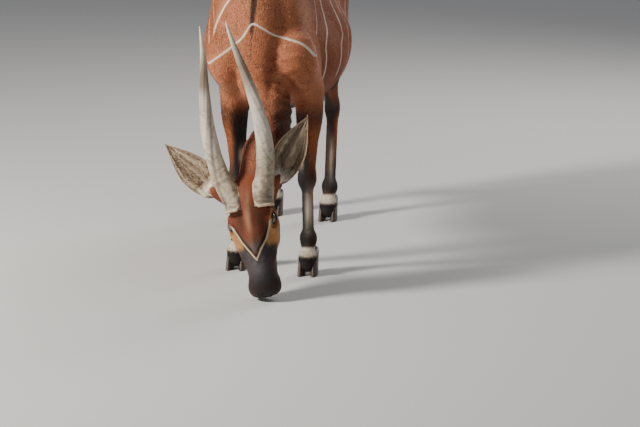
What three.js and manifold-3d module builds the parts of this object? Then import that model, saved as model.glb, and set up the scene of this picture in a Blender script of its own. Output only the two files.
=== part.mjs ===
// A grazing bongo cow at life size, in millimetres. +Z is up, the head is
// towards -Y and the animal's own left is +X. The body is one blended field
// of named muscles and bones, meshed in pieces that meet at flat cuts.
import * as THREE from 'three';
import { mergeVertices } from 'three/addons/utils/BufferGeometryUtils.js';
import { LoftGeometry } from 'three/addons/geometries/LoftGeometry.js';
import Module from 'manifold-3d';

const wasm = await Module();
wasm.setup();

// Driving dimensions of the whole animal
const GAP = 0.3;
const WELD = 0.02;
const WITHERS = 1120;
const CROUP = 1178;
const BELLY = 536;
const BARREL_WIDTH = 544;
const BARREL_LEVEL = 768;
const ELBOW = 655;
const KNEE = 350;
const HOCK = 440;
const FETLOCK = 128;
const CORONET = 58;
const HORN_LENGTH = 620;
const EAR_LENGTH = 255;
const TAIL_LENGTH = 560;

// Small vector helpers
const vec = (x, y, z) => new THREE.Vector3(x, y, z);
const mix = (a, b, t) => a + (b - a) * t;
const clamp = (x, lo, hi) => Math.min(Math.max(x, lo), hi);
const bump = (t, centre, width) => Math.exp(-(((t - centre) / width) ** 2));

function seededRandom(seed) {
  let state = seed;
  return () => {
    state = (state * 1664525 + 1013904223) % 4294967296;
    return state / 4294967296;
  };
}

// The head's own frame: u to the animal's left, v out of the face, w from
// the tip of the muzzle up to the poll. The muzzle rests just above the floor.
const MUZZLE_TIP = vec(112, -915, 20);
const HEAD_PITCH = THREE.MathUtils.degToRad(8);
const HEAD_ROLL = THREE.MathUtils.degToRad(12.8);
const uprightU = vec(1, 0, 0);
const uprightW = vec(0, Math.sin(HEAD_PITCH), Math.cos(HEAD_PITCH));
const headV = vec(0, -Math.cos(HEAD_PITCH), Math.sin(HEAD_PITCH));
const headU = uprightU.clone().multiplyScalar(Math.cos(HEAD_ROLL))
  .addScaledVector(uprightW, Math.sin(HEAD_ROLL));
const headW = uprightW.clone().multiplyScalar(Math.cos(HEAD_ROLL))
  .addScaledVector(uprightU, -Math.sin(HEAD_ROLL));
const HEAD_AXES = [headU, headV, headW];
const BODY_AXES = [vec(1, 0, 0), vec(0, 1, 0), vec(0, 0, 1)];

function headPoint(u, v, w) {
  return MUZZLE_TIP.clone().addScaledVector(headU, u)
    .addScaledVector(headV, v).addScaledVector(headW, w);
}

function headDirection(u, v, w) {
  return vec(0, 0, 0).addScaledVector(headU, u).addScaledVector(headV, v)
    .addScaledVector(headW, w).normalize();
}

// The field: each muscle or bone is a signed distance, and they melt into
// each other over the length given as blend.
const flesh = [];

function muscle(centre, half, blend, axes = BODY_AXES) {
  const [ax, ay, az] = axes;
  const reach = Math.max(half[0], half[1], half[2]);
  flesh.push({ blend, centre, reach, distance(p) {
    const dx = p.x - centre.x;
    const dy = p.y - centre.y;
    const dz = p.z - centre.z;
    const a = (dx * ax.x + dy * ax.y + dz * ax.z) / half[0];
    const b = (dx * ay.x + dy * ay.y + dz * ay.z) / half[1];
    const c = (dx * az.x + dy * az.y + dz * az.z) / half[2];
    const near = Math.sqrt(a * a + b * b + c * c);
    const steep = Math.sqrt((a / half[0]) ** 2 + (b / half[1]) ** 2 + (c / half[2]) ** 2);
    return steep < 1e-9 ? -Math.min(...half) : near * (near - 1) / steep;
  } });
}

function bone(from, to, startRadius, endRadius, blend, flat = 1, side = BODY_AXES[0]) {
  const axis = to.clone().sub(from);
  const length2 = axis.lengthSq();
  const centre = from.clone().add(to).multiplyScalar(0.5);
  const reach = Math.sqrt(length2) / 2 + Math.max(startRadius, endRadius);
  const stretch = 1 / flat - 1;
  flesh.push({ blend, centre, reach, distance(p) {
    let dx = p.x - from.x;
    let dy = p.y - from.y;
    let dz = p.z - from.z;
    const t = clamp((dx * axis.x + dy * axis.y + dz * axis.z) / length2, 0, 1);
    dx -= axis.x * t;
    dy -= axis.y * t;
    dz -= axis.z * t;
    const across = (dx * side.x + dy * side.y + dz * side.z) * stretch;
    dx += side.x * across;
    dy += side.y * across;
    dz += side.z * across;
    return Math.sqrt(dx * dx + dy * dy + dz * dz) - mix(startRadius, endRadius, t);
  } });
}

function bodyField(p) {
  let d = 1e3;
  for (const piece of flesh) {
    const away = p.distanceTo(piece.centre) - piece.reach;
    if (away > d + piece.blend && away > 60) continue;
    const other = piece.distance(p);
    const h = Math.max(piece.blend - Math.abs(d - other), 0) / piece.blend;
    d = Math.min(d, other) - h * h * piece.blend / 4;
  }
  return d;
}

// The forequarters hang to the animal's left under the withers, because the
// left foreleg stands wide
const SWAY = 0.15;

function swayed(x, y, z) {
  const forward = clamp((-y - 50) / 400, 0, 1);
  return vec(x + SWAY * Math.max(WITHERS - 40 - z, 0) * forward, y, z);
}

// Trunk
function buildTrunk() {
  muscle(vec(-4, 45, BARREL_LEVEL), [BARREL_WIDTH / 2, 480, BARREL_LEVEL - BELLY], 40);
  muscle(vec(-28, 60, 925), [212, 520, CROUP - 933], 60);
  muscle(swayed(0, -330, 852), [172, 325, WITHERS - 852], 60);
  muscle(vec(0, 100, 705), [212, 380, 705 - BELLY], 60);
  bone(vec(0, -430, WITHERS - 62), vec(0, -240, WITHERS - 50), 50, 66, 60);
  bone(vec(0, -240, WITHERS - 50), vec(0, 430, CROUP - 82), 66, 76, 60);
  muscle(vec(0, 450, CROUP - 205), [158, 250, 198], 60);
  muscle(swayed(0, -545, 775), [105, 95, 120], 60);
  muscle(vec(0, 430, 750), [110, 130, 66], 50);
  bone(vec(0, 560, 1090), vec(0, 672, 1072), 78, 40, 60);
  for (const side of [-1, 1]) {
    muscle(vec(side * 85, 555, 895), [90, 148, 205], 60);
    muscle(vec(side * 108, 340, 1068), [50, 84, 36], 60);
    muscle(swayed(side * 112, -455, 915), [56, 98, 205], 50,
      [vec(0.98, 0.06, side * 0.19), vec(0, 0.95, -0.31), vec(side * -0.2, 0.3, 0.93)]);
    muscle(swayed(side * 116, -555, 812), [70, 72, 84], 40);
    bone(swayed(side * 122, -550, 800), swayed(side * 122, -400, ELBOW + 15), 80, 60, 40, 0.85);
    muscle(swayed(side * 130, -405, 765), [58, 108, 118], 40);
    muscle(vec(side * 122, 400, 790), [84, 182, 212], 50,
      [vec(1, 0, 0), vec(0, 0.93, -0.37), vec(0, 0.37, 0.93)]);
    bone(vec(side * 112, 425, 900), vec(side * 134, 285, 715), 108, 82, 40, 0.72);
    muscle(vec(side * 92, 325, 612), [52, 95, 62], 50);
    bone(vec(side * 106, 600, 890), vec(side * 116, 530, 650), 84, 52, 50, 0.8);
  }
}

// Neck, hanging down in front of the chest and bent to the animal's left
const NECK_PATH = [
  { at: vec(14, -430, 930), depth: 160, flat: 0.74 },
  { at: vec(50, -528, 765), depth: 110, flat: 0.66 },
  { at: vec(96, -600, 622), depth: 84, flat: 0.58 },
  { at: vec(93, -640, 540), depth: 82, flat: 0.58 },
  { at: vec(70, -672, 470), depth: 84, flat: 0.88 },
  { at: vec(54, -740, 362), depth: 79, flat: 0.98 },
];

function buildNeck() {
  for (let i = 1; i < NECK_PATH.length; i++) {
    const upper = NECK_PATH[i - 1];
    const lower = NECK_PATH[i];
    bone(upper.at, lower.at, upper.depth, lower.depth, 50, (upper.flat + lower.flat) / 2);
  }
}

// Legs: joints as points, with the radius and flatness of each bone between
const FRONT_LEGS = [
  { name: 'left', side: 1, elbow: vec(184, -402, ELBOW), knee: vec(183, -434, KNEE),
    fetlock: vec(187, -432, FETLOCK), hoof: vec(190, -462, 0) },
  { name: 'right', side: -1, elbow: vec(-86, -398, ELBOW), knee: vec(-76, -396, KNEE),
    fetlock: vec(-78, -378, FETLOCK), hoof: vec(-84, -408, 0) },
];
const HIND_LEGS = [
  { name: 'left', side: 1, stifle: vec(140, 262, 705), hock: vec(122, 560, HOCK),
    fetlock: vec(118, 520, FETLOCK), hoof: vec(117, 480, 0) },
  { name: 'right', side: -1, stifle: vec(-140, 285, 705), hock: vec(-120, 620, HOCK),
    fetlock: vec(-116, 590, FETLOCK), hoof: vec(-115, 552, 0) },
];

function buildFoot(leg, cannonTop, cannonRadius) {
  const pastern = leg.hoof.clone().setZ(CORONET + 8);
  const tendon = vec(0, 17, 0);
  bone(cannonTop, leg.fetlock, cannonRadius, cannonRadius, 14, 0.95);
  bone(cannonTop.clone().add(tendon), leg.fetlock.clone().add(tendon), 15, 13, 16);
  bone(leg.fetlock.clone().add(vec(0, -3, 6)), leg.fetlock.clone().add(vec(0, 6, -4)), 28, 28, 16);
  bone(leg.fetlock, pastern, 25, 27, 18);
  bone(pastern.clone().add(vec(0, -6, 0)), pastern.clone().add(vec(0, 14, -2)), 29, 27, 12);
  bone(pastern, pastern.clone().add(vec(0, -6, -24)), 30, 32, 12);
  for (const side of [-1, 1]) {
    const dewclaw = leg.fetlock.clone().add(vec(side * 15, 33, -8));
    bone(dewclaw, dewclaw.clone().add(vec(side * 2, 7, -16)), 9, 6, 8);
  }
}

function buildFrontLeg(leg) {
  const out = vec(leg.side * 4, 0, 0);
  bone(leg.elbow.clone().add(out), leg.knee, 62, 33, 34, 0.82);
  muscle(leg.elbow.clone().lerp(leg.knee, 0.22).add(vec(leg.side * 6, -6, 0)), [42, 60, 92], 30);
  muscle(leg.knee, [34, 37, 48], 18);
  bone(leg.elbow.clone().add(vec(0, 48, 18)), leg.elbow.clone().add(vec(0, 34, -60)), 30, 20, 30);
  buildFoot(leg, leg.knee.clone().add(vec(0, 2, -25)), 22);
}

function buildHindLeg(leg) {
  const heel = leg.hock.clone().add(vec(0, 42, 22));
  bone(leg.stifle, leg.hock, 78, 34, 40, 0.66);
  muscle(leg.stifle.clone().lerp(leg.hock, 0.25).add(vec(0, 20, 30)), [48, 88, 110], 40);
  muscle(leg.stifle.clone().add(vec(0, -12, 14)), [46, 44, 56], 40);
  bone(leg.stifle.clone().lerp(leg.hock, 0.45).add(vec(0, 70, 70)), heel, 44, 20, 34, 0.62);
  const calf = leg.stifle.clone().lerp(leg.hock, 0.6).add(vec(0, 40, 36));
  bone(calf, leg.hock.clone().add(vec(0, 24, 16)), 44, 28, 30, 0.5);
  bone(heel, leg.hock.clone().add(vec(0, 24, -60)), 21, 17, 20);
  muscle(leg.hock, [32, 40, 54], 20);
  buildFoot(leg, leg.hock.clone().add(vec(0, 4, -30)), 24);
}

// Head, in its own frame. All sizes in the order u, v, w.
const EYE = { u: 66, v: -58, w: 264, radius: 20 };
const HORN_SEAT = { u: 47, v: -38, w: 344 };
const EAR_SEAT = { u: 104, v: -80, w: 384 };

function headMuscle(u, v, w, half, blend) {
  muscle(headPoint(u, v, w), half, blend, HEAD_AXES);
}

function headBone(from, to, startRadius, endRadius, blend, flat = 1) {
  bone(headPoint(...from), headPoint(...to), startRadius, endRadius, blend, flat, headU);
}

function buildHead() {
  headMuscle(0, -78, 318, [68, 72, 88], 30);
  headMuscle(0, -44, 292, [58, 38, 86], 30);
  headMuscle(0, -92, 372, [58, 56, 44], 36);
  headBone([0, -36, 262], [0, -34, 70], 36, 33, 26, 1.05);
  headBone([0, -66, 235], [0, -60, 60], 51, 45, 26, 1.14);
  headMuscle(0, -48, 40, [57, 43, 43], 18);
  headMuscle(0, -27, 22, [41, 25, 22], 14);
  headBone([0, -96, 48], [0, -112, 150], 25, 30, 22);
  headMuscle(0, -92, 34, [30, 21, 24], 14);
  for (const side of [-1, 1]) {
    headBone([side * 22, -104, 80], [side * 46, -140, 236], 24, 32, 30, 0.7);
    headMuscle(side * 52, -112, 226, [27, 50, 66], 26);
    headMuscle(side * 48, -142, 262, [24, 36, 44], 26);
    headMuscle(side * 61, -60, 268, [31, 32, 36], 18);
    headBone([side * 60, -66, 232], [side * 36, -62, 155], 25, 26, 26);
    headMuscle(side * 33, -52, 30, [22, 30, 26], 14);
    headMuscle(side * 31, -76, 42, [20, 18, 32], 12);
    headBone([side * 36, -50, 318], [side * HORN_SEAT.u, HORN_SEAT.v - 9, 344], 32, 32, 18);
    headBone([side * 56, -88, 350], [side * (EAR_SEAT.u + 8), EAR_SEAT.v, EAR_SEAT.w + 9], 34, 23, 22);
  }
}

buildTrunk();
buildNeck();
FRONT_LEGS.forEach(buildFrontLeg);
HIND_LEGS.forEach(buildHindLeg);
buildHead();

// Meshing. A vertex sits in each grid cell that the surface crosses and is
// then moved onto the surface; neighbouring cells are joined by quads.
function steps(low, high, size) {
  const count = Math.max(2, Math.round((high - low) / size));
  return Array.from({ length: count + 1 }, (_, i) => mix(low, high, i / count));
}

function graded(...runs) {
  const line = [];
  for (const [low, high, size] of runs) {
    const run = steps(low, high, size);
    line.push(...(line.length ? run.slice(1) : run));
  }
  return line;
}

function ontoSurface(p, limit, toModel) {
  const start = p.clone();
  const step = 1.5;
  for (let i = 0; i < 4; i++) {
    const q = p.clone().applyMatrix4(toModel);
    const d = bodyField(q);
    const slope = vec(
      bodyField(q.clone().setX(q.x + step)) - d,
      bodyField(q.clone().setY(q.y + step)) - d,
      bodyField(q.clone().setZ(q.z + step)) - d,
    ).divideScalar(step);
    q.addScaledVector(slope, -d / Math.max(slope.lengthSq(), 0.2));
    p.copy(q.applyMatrix4(toModel.clone().invert()));
    p.clamp(start.clone().sub(limit), start.clone().add(limit));
  }
  return p;
}

// Whether some edge is shared by more than two triangles, so the surface
// touches itself there
function isPinched(triangles) {
  const edges = new Map();
  for (let i = 0; i < triangles.length; i += 3) {
    for (let k = 0; k < 3; k++) {
      const ends = [triangles[i + k], triangles[i + (k + 1) % 3]].sort((a, b) => a - b);
      const key = ends.join();
      edges.set(key, (edges.get(key) ?? 0) + 1);
    }
  }
  return [...edges.values()].some((count) => count !== 2);
}

// The grid is nudged along until the surface is clean
function meshField(xs, ys, zs, toModel = new THREE.Matrix4()) {
  for (let nudge = 0; nudge < 40; nudge++) {
    const shift = (line, pace) => line.map((x) => x + (nudge * pace) % 11);
    const { vertices, triangles } = netOver(shift(xs, 1.7), shift(ys, 2.3), shift(zs, 3.1), toModel);
    if (!isPinched(triangles)) {
      return solidFrom(vertices.flatMap((p) => [p.x, p.y, p.z]), triangles);
    }
  }
  throw new Error('no clean grid was found');
}

function netOver(xs, ys, zs, toModel) {
  const nx = xs.length;
  const ny = ys.length;
  const nz = zs.length;
  const at = (i, j, k) => (k * ny + j) * nx + i;
  const value = new Float64Array(nx * ny * nz).fill(5);
  const edge = (i, j, k) => i === 0 || j === 0 || k === 0 || i === nx - 1 || j === ny - 1 || k === nz - 1;
  for (let k = 1; k < nz - 1; k++) {
    for (let j = 1; j < ny - 1; j++) {
      for (let i = 1; i < nx - 1; i++) {
        value[at(i, j, k)] = bodyField(vec(xs[i], ys[j], zs[k]).applyMatrix4(toModel));
      }
    }
  }
  const vertices = [];
  const cellVertex = new Int32Array(nx * ny * nz).fill(-1);
  for (let k = 0; k < nz - 1; k++) {
    for (let j = 0; j < ny - 1; j++) {
      for (let i = 0; i < nx - 1; i++) {
        const sum = vec(0, 0, 0);
        let crossings = 0;
        let rim = false;
        for (let e = 0; e < 12; e++) {
          const axis = e >> 2;
          const a = e & 1;
          const b = (e >> 1) & 1;
          const low = [[0, a, b], [a, 0, b], [a, b, 0]][axis];
          const high = low.slice();
          high[axis] = 1;
          const v0 = value[at(i + low[0], j + low[1], k + low[2])];
          const v1 = value[at(i + high[0], j + high[1], k + high[2])];
          if ((v0 < 0) === (v1 < 0)) continue;
          const t = v0 / (v0 - v1);
          sum.add(vec(
            mix(xs[i + low[0]], xs[i + high[0]], t),
            mix(ys[j + low[1]], ys[j + high[1]], t),
            mix(zs[k + low[2]], zs[k + high[2]], t),
          ));
          crossings++;
          rim = rim || edge(i + low[0], j + low[1], k + low[2])
            || edge(i + high[0], j + high[1], k + high[2]);
        }
        if (!crossings) continue;
        const p = sum.divideScalar(crossings);
        const limit = vec(xs[i + 1] - xs[i], ys[j + 1] - ys[j], zs[k + 1] - zs[k]).multiplyScalar(0.55);
        if (!rim) ontoSurface(p, limit, toModel);
        cellVertex[at(i, j, k)] = vertices.length;
        vertices.push(p.applyMatrix4(toModel));
      }
    }
  }
  const triangles = [];
  const mirrored = toModel.determinant() < 0;
  const quad = (a, b, c, d) => {
    if (vertices[a].distanceTo(vertices[c]) <= vertices[b].distanceTo(vertices[d])) {
      triangles.push(a, b, c, a, c, d);
    } else {
      triangles.push(b, c, d, b, d, a);
    }
  };
  for (let k = 0; k < nz - 1; k++) {
    for (let j = 0; j < ny - 1; j++) {
      for (let i = 0; i < nx - 1; i++) {
        const inside = value[at(i, j, k)] < 0;
        const around = [
          [value[at(i + 1, j, k)], [0, -1, -1], [0, 0, -1], [0, 0, 0], [0, -1, 0]],
          [value[at(i, j + 1, k)], [-1, 0, -1], [-1, 0, 0], [0, 0, 0], [0, 0, -1]],
          [value[at(i, j, k + 1)], [-1, -1, 0], [0, -1, 0], [0, 0, 0], [-1, 0, 0]],
        ];
        for (const [next, ...cells] of around) {
          if (inside === (next < 0)) continue;
          const ring = cells.map(([a, b, c]) => cellVertex[at(i + a, j + b, k + c)]);
          if (inside === mirrored) ring.reverse();
          quad(...ring);
        }
      }
    }
  }
  return { vertices, triangles };
}

// Solids for joining and cutting
function solidFrom(positions, triangles) {
  const mesh = new wasm.Mesh({
    numProp: 3,
    vertProperties: Float32Array.from(positions),
    triVerts: Uint32Array.from(triangles),
  });
  mesh.merge();
  return new wasm.Manifold(mesh);
}

function solidOf(geometry) {
  const bare = new THREE.BufferGeometry();
  bare.setAttribute('position', geometry.getAttribute('position'));
  bare.setIndex(geometry.getIndex());
  const merged = mergeVertices(bare, 1e-3);
  return solidFrom(merged.attributes.position.array, merged.index.array);
}

function block(low, high, toModel = new THREE.Matrix4()) {
  const size = high.clone().sub(low);
  const box = new THREE.BoxGeometry(size.x, size.y, size.z);
  box.translate((low.x + high.x) / 2, (low.y + high.y) / 2, (low.z + high.z) / 2);
  box.applyMatrix4(toModel);
  return solidOf(box);
}

// Half of space: everything past a plane, as a block large enough for the animal
function beyond(point, normal, offset = 0) {
  const size = 3000;
  const z = normal.clone().normalize();
  const x = (Math.abs(z.x) < 0.8 ? vec(1, 0, 0) : vec(0, 1, 0)).cross(z).normalize();
  const y = z.clone().cross(x);
  const frame = new THREE.Matrix4().makeBasis(x, y, z)
    .setPosition(point.clone().addScaledVector(z, offset));
  return block(vec(-size, -size, 0), vec(size, size, size), frame);
}

// A round post of the given radius that starts at a seat
const POST = { height: 70, sides: 20 };

function postFrom(seat, radius, offset) {
  const z = seat.normal.clone().normalize();
  const x = BODY_AXES[1].clone().cross(z).normalize();
  const y = z.clone().cross(x);
  const post = new THREE.CylinderGeometry(radius, radius, POST.height, POST.sides);
  post.translate(0, POST.height / 2, 0);
  post.applyMatrix4(new THREE.Matrix4().makeBasis(x, z, y.negate())
    .setPosition(seat.point.clone().addScaledVector(z, offset)));
  return solidOf(post);
}

function largestBody(solid) {
  const bodies = solid.decompose();
  bodies.sort((a, b) => b.volume() - a.volume());
  return bodies[0];
}

// Where the animal is parted
const NECK_CUT = { point: vec(0, -600, 735), normal: vec(0, -0.85, -0.53) };
const HEAD_CUT = { point: headPoint(0, -80, 416), normal: headDirection(0, 0.79, -0.61) };
const TAIL_CUT = { point: vec(0, 716, 1062), normal: vec(0, 0.9, -0.44) };
const FOREARM_TOP = 585;
const FOREARM_BACK = -285;
const FOREARM_FRONT = -520;
const FOREARM_SPLIT = 62;
const GASKIN_TOP = 700;
const GASKIN_CUT = { y: 368, z: 610 };
const GASKIN_NORMAL = vec(0, 0.764, -0.645);

function frontLegRegion(leg, grow) {
  const low = vec(leg.side > 0 ? FOREARM_SPLIT - grow : -400, FOREARM_FRONT - grow, -50);
  const high = vec(leg.side > 0 ? 400 : FOREARM_SPLIT + grow, FOREARM_BACK + grow, FOREARM_TOP + grow);
  return block(low, high);
}

function hindLegRegion(leg, grow) {
  const low = vec(leg.side > 0 ? 20 - grow : -400, 0, -50);
  const high = vec(leg.side > 0 ? 400 : -20 + grow, 1000, GASKIN_TOP + grow);
  const shift = leg.stifle.y - HIND_LEGS[0].stifle.y;
  const cut = vec(0, GASKIN_CUT.y + shift, GASKIN_CUT.z);
  return block(low, high).intersect(beyond(cut, GASKIN_NORMAL, -grow));
}

// Crest and mane: flat tapered locks on the ridge of the back, leaning back
const CREST = { from: -452, to: 640, pitch: 28, height: 62, width: 46, thick: 10, sink: 24, seed: 7 };

function ridgeHeight(y, low = 700, high = 1400) {
  let above = high;
  let under = low;
  for (let i = 0; i < 22; i++) {
    const z = (above + under) / 2;
    if (bodyField(vec(0, y, z)) > 0) above = z;
    else under = z;
  }
  return above;
}

function lockGeometry(root, up, along, side, length, width, thick, sweep) {
  const rings = [];
  const levels = [0, 0.5, 1];
  for (const s of levels) {
    const taper = 1 - 0.9 * s ** 1.4;
    const centre = root.clone().addScaledVector(up, length * (s - 0.12 * s * s))
      .addScaledVector(along, sweep * s * s);
    const half = width * taper / 2;
    const deep = thick * (1 - 0.8 * s) / 2;
    rings.push([
      centre.clone().addScaledVector(along, -half),
      centre.clone().addScaledVector(side, -deep),
      centre.clone().addScaledVector(along, half),
      centre.clone().addScaledVector(side, deep),
    ]);
  }
  return rings;
}

// A closed loft through rings, each put in the order that turns its wall outwards
function middleOf(ring) {
  return ring.reduce((sum, p) => sum.add(p), vec(0, 0, 0)).divideScalar(ring.length);
}

function loft(rings) {
  const half = Math.floor(rings.length / 2);
  const ring = rings[half];
  const centre = middleOf(ring);
  const turning = vec(0, 0, 0);
  ring.forEach((p, i) => {
    const q = ring[(i + 1) % ring.length];
    turning.add(p.clone().sub(centre).cross(q.clone().sub(centre)));
  });
  const forward = turning.dot(centre.sub(middleOf(rings[half - 1]))) > 0;
  const ordered = forward ? rings : rings.map((each) => each.slice().reverse());
  return solidOf(new LoftGeometry(ordered, { capStart: true, capEnd: true }));
}

function crestLocks() {
  const random = seededRandom(CREST.seed);
  const locks = [];
  const count = Math.round((CREST.to - CREST.from) / CREST.pitch);
  for (let i = 0; i <= count; i++) {
    const t = i / count;
    const y = mix(CREST.from, CREST.to, t);
    const z = ridgeHeight(y);
    const slope = (ridgeHeight(y + 8) - ridgeHeight(y - 8)) / 16;
    const along = vec(0, 1, slope).normalize();
    const ends = clamp(t * 9 + 0.45, 0, 1) * clamp((1 - t) * 7 + 0.35, 0, 1);
    const lean = vec((i % 2 ? 1 : -1) * 0.02, 0.42 + 0.12 * random(), 1).normalize();
    const length = CREST.height * ends * (0.85 + 0.3 * random()) + CREST.sink;
    const root = vec((i % 2 ? 1 : -1) * (4 + 4 * random()), y, z - CREST.sink);
    const width = CREST.width * (0.9 + 0.2 * random());
    locks.push(loft(lockGeometry(root, lean, along, vec(1, 0, 0), length, width, CREST.thick, 10)));
  }
  return locks;
}

// Flesh nodes
function buildTorso() {
  let torso = meshField(steps(-330, 330, 44), steps(-800, 780, 54), steps(470, 1230, 44));
  torso = torso.subtract(beyond(NECK_CUT.point, NECK_CUT.normal, -GAP / 2));
  torso = torso.subtract(postFrom(TAIL_CUT, 2 * TAIL.dock, -GAP / 2));
  for (const leg of FRONT_LEGS) torso = torso.subtract(frontLegRegion(leg, GAP));
  for (const leg of HIND_LEGS) torso = torso.subtract(hindLegRegion(leg, GAP));
  torso = largestBody(torso);
  for (const lock of crestLocks()) torso = torso.add(lock);
  return largestBody(torso);
}

function buildNeckNode() {
  let neck = meshField(steps(-150, 230, 27), steps(-900, -460, 27), steps(240, 960, 38));
  neck = neck.intersect(beyond(NECK_CUT.point, NECK_CUT.normal, GAP / 2));
  neck = neck.subtract(beyond(HEAD_CUT.point, HEAD_CUT.normal, -GAP / 2));
  for (const leg of FRONT_LEGS) neck = neck.subtract(frontLegRegion(leg, GAP));
  for (const side of [-1, 1]) {
    neck = neck.subtract(postFrom(earSeat(side), EAR.width / 2, -GAP / 2));
    neck = neck.subtract(hornHollow(side));
  }
  return largestBody(neck);
}

// Horns: twisted, keeled and bowed apart, on flat seats of the skull
const HORN = {
  baseRadius: 37, tipRadius: 4, root: -0.05, seat: -0.03, rings: 22, sides: 10, keel: 0.13, twist: 3.6,
};
const HORN_BOW = { left: 49, right: 46, late: 1.7, peak: 0.169 };
const HORN_LEAN = { left: 12, right: -11 };
const HORN_ASIDE = 6.5;

function hornSpine(side, s) {
  const word = side > 0 ? 'left' : 'right';
  const bowed = Math.max(s, 0) * Math.max(1 - s, 0) ** HORN_BOW.late / HORN_BOW.peak;
  const u = HORN_SEAT.u + HORN_BOW[word] * bowed + HORN_LEAN[word] * s;
  const v = HORN_SEAT.v - 0.07 * HORN_LENGTH * s + 0.12 * HORN_LENGTH * s * s;
  const aside = HORN_ASIDE * (1 - Math.max(s, 0)) ** 4;
  return headPoint(side * u + aside, v, HORN_SEAT.w + HORN_LENGTH * s);
}

function hornDirection(side, s) {
  return hornSpine(side, s + 0.01).sub(hornSpine(side, s - 0.01)).normalize();
}

function hornRings(side, room) {
  const rings = [];
  for (let i = 0; i <= HORN.rings; i++) {
    const s = mix(HORN.root, 1, (i / HORN.rings) ** 0.9);
    const along = hornDirection(side, s);
    const across = headU.clone().cross(along).normalize();
    const right = along.clone().cross(across);
    const radius = mix(HORN.tipRadius, HORN.baseRadius, Math.min(1 - s, 1) ** 0.72 * (1 - 0.1 * s));
    const ring = [];
    for (let j = 0; j < HORN.sides; j++) {
      const angle = (j / HORN.sides) * 2 * Math.PI;
      const keel = 1 + HORN.keel * bump(angle, Math.PI, 0.5) - 0.05 * Math.cos(2 * angle);
      const turned = side * (angle + HORN.twist * s);
      ring.push(hornSpine(side, s)
        .addScaledVector(right, Math.cos(turned) * (radius * keel + room))
        .addScaledVector(across, Math.sin(turned) * (radius * keel + room)));
    }
    rings.push(ring);
  }
  return rings;
}

function hornSeat(side) {
  return { point: hornSpine(side, HORN.seat), normal: hornDirection(side, HORN.seat) };
}

function buildHorn(side) {
  const seat = hornSeat(side);
  return loft(hornRings(side, 0)).intersect(beyond(seat.point, seat.normal, GAP / 2));
}

// The hollow of the skull in which a horn stands
function hornHollow(side) {
  const seat = hornSeat(side);
  return loft(hornRings(side, 2 * GAP)).intersect(beyond(seat.point, seat.normal, -GAP / 2));
}

// Ears: leaf-shaped cups, open to the front, on a rolled stalk
const EAR = { width: 112, cup: 40, stalk: 19, thick: 4, rings: 10, columns: 7 };

function earAxes(side) {
  const along = headDirection(side * 0.61, 0, 0.79);
  const facing = headDirection(side * 0.12, 1, 0.05);
  const across = along.clone().cross(facing).normalize();
  return { along, across, facing: across.clone().cross(along) };
}

function earRings(side) {
  const { along, across, facing } = earAxes(side);
  const root = headPoint(side * EAR_SEAT.u, EAR_SEAT.v, EAR_SEAT.w);
  const rings = [];
  for (let i = 0; i <= EAR.rings; i++) {
    const s = i / EAR.rings;
    const leaf = Math.sin(Math.PI * clamp(s, 0, 1) ** 0.8) ** 0.8;
    const slim = mix(1, 0.75, clamp(2 * s - 1, 0, 1));
    const half = mix(EAR.stalk, EAR.width / 2, leaf) * (1 - 0.9 * s ** 6) * slim;
    const depth = EAR.cup * (1 - s ** 1.6) * mix(0.5, 1, clamp(s * 4, 0, 1)) + 2;
    const open = clamp((s - 0.08) / 0.16, 0, 1);
    const curl = 26 * s * s;
    const centre = root.clone().addScaledVector(along, EAR_LENGTH * s)
      .addScaledVector(facing, -curl);
    const ring = [];
    const place = (x, y) => ring.push(centre.clone()
      .addScaledVector(across, x).addScaledVector(facing, y));
    for (let j = 0; j <= EAR.columns; j++) {
      const a = mix(-1, 1, j / EAR.columns) * Math.PI / 2;
      place(Math.sin(a) * half, -Math.cos(a) * depth);
    }
    for (let j = EAR.columns; j >= 0; j--) {
      const a = mix(-1, 1, j / EAR.columns) * Math.PI / 2 * 0.97;
      const cupped = -Math.cos(a) * Math.max(depth - EAR.thick, 0.4) + 0.9;
      const closed = Math.cos(a) * EAR.stalk * 0.8 + 1.5;
      place(Math.sin(a) * (half - EAR.thick * 0.6 * mix(1, 0.5, s)), mix(closed, cupped, open));
    }
    rings.push(ring);
  }
  return rings;
}

function earSeat(side) {
  const { along } = earAxes(side);
  return { point: headPoint(side * EAR_SEAT.u, EAR_SEAT.v, EAR_SEAT.w).addScaledVector(along, 16),
    normal: along };
}

function buildEar(side) {
  const seat = earSeat(side);
  const ear = loft(earRings(side)).intersect(beyond(seat.point, seat.normal, GAP / 2));
  return largestBody(ear.subtract(hornHollow(side)));
}

// Eyes and lids
function eyeCentre(side) {
  return headPoint(side * EYE.u, EYE.v, EYE.w);
}

function eyeAxes(side) {
  const out = headDirection(side * 0.86, 0.48, -0.12);
  const along = headDirection(side * 0.61, 0, 0.79);
  const up = out.clone().cross(along).normalize();
  return { out, up, along: up.clone().cross(out) };
}

function eyeBall(side, radius) {
  const ball = new THREE.SphereGeometry(radius, 12, 7);
  const { out, up, along } = eyeAxes(side);
  ball.applyMatrix4(new THREE.Matrix4().makeBasis(along, out, up));
  ball.translate(...eyeCentre(side).toArray());
  const solid = solidOf(ball);
  return solid.volume() > 0 ? solid : solidOf(flipped(ball));
}

function flipped(geometry) {
  const copy = geometry.clone();
  copy.index.array.reverse();
  return copy;
}

const LID = { length: 21, height: 12.5, thick: 5.5, sides: 16 };

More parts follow.
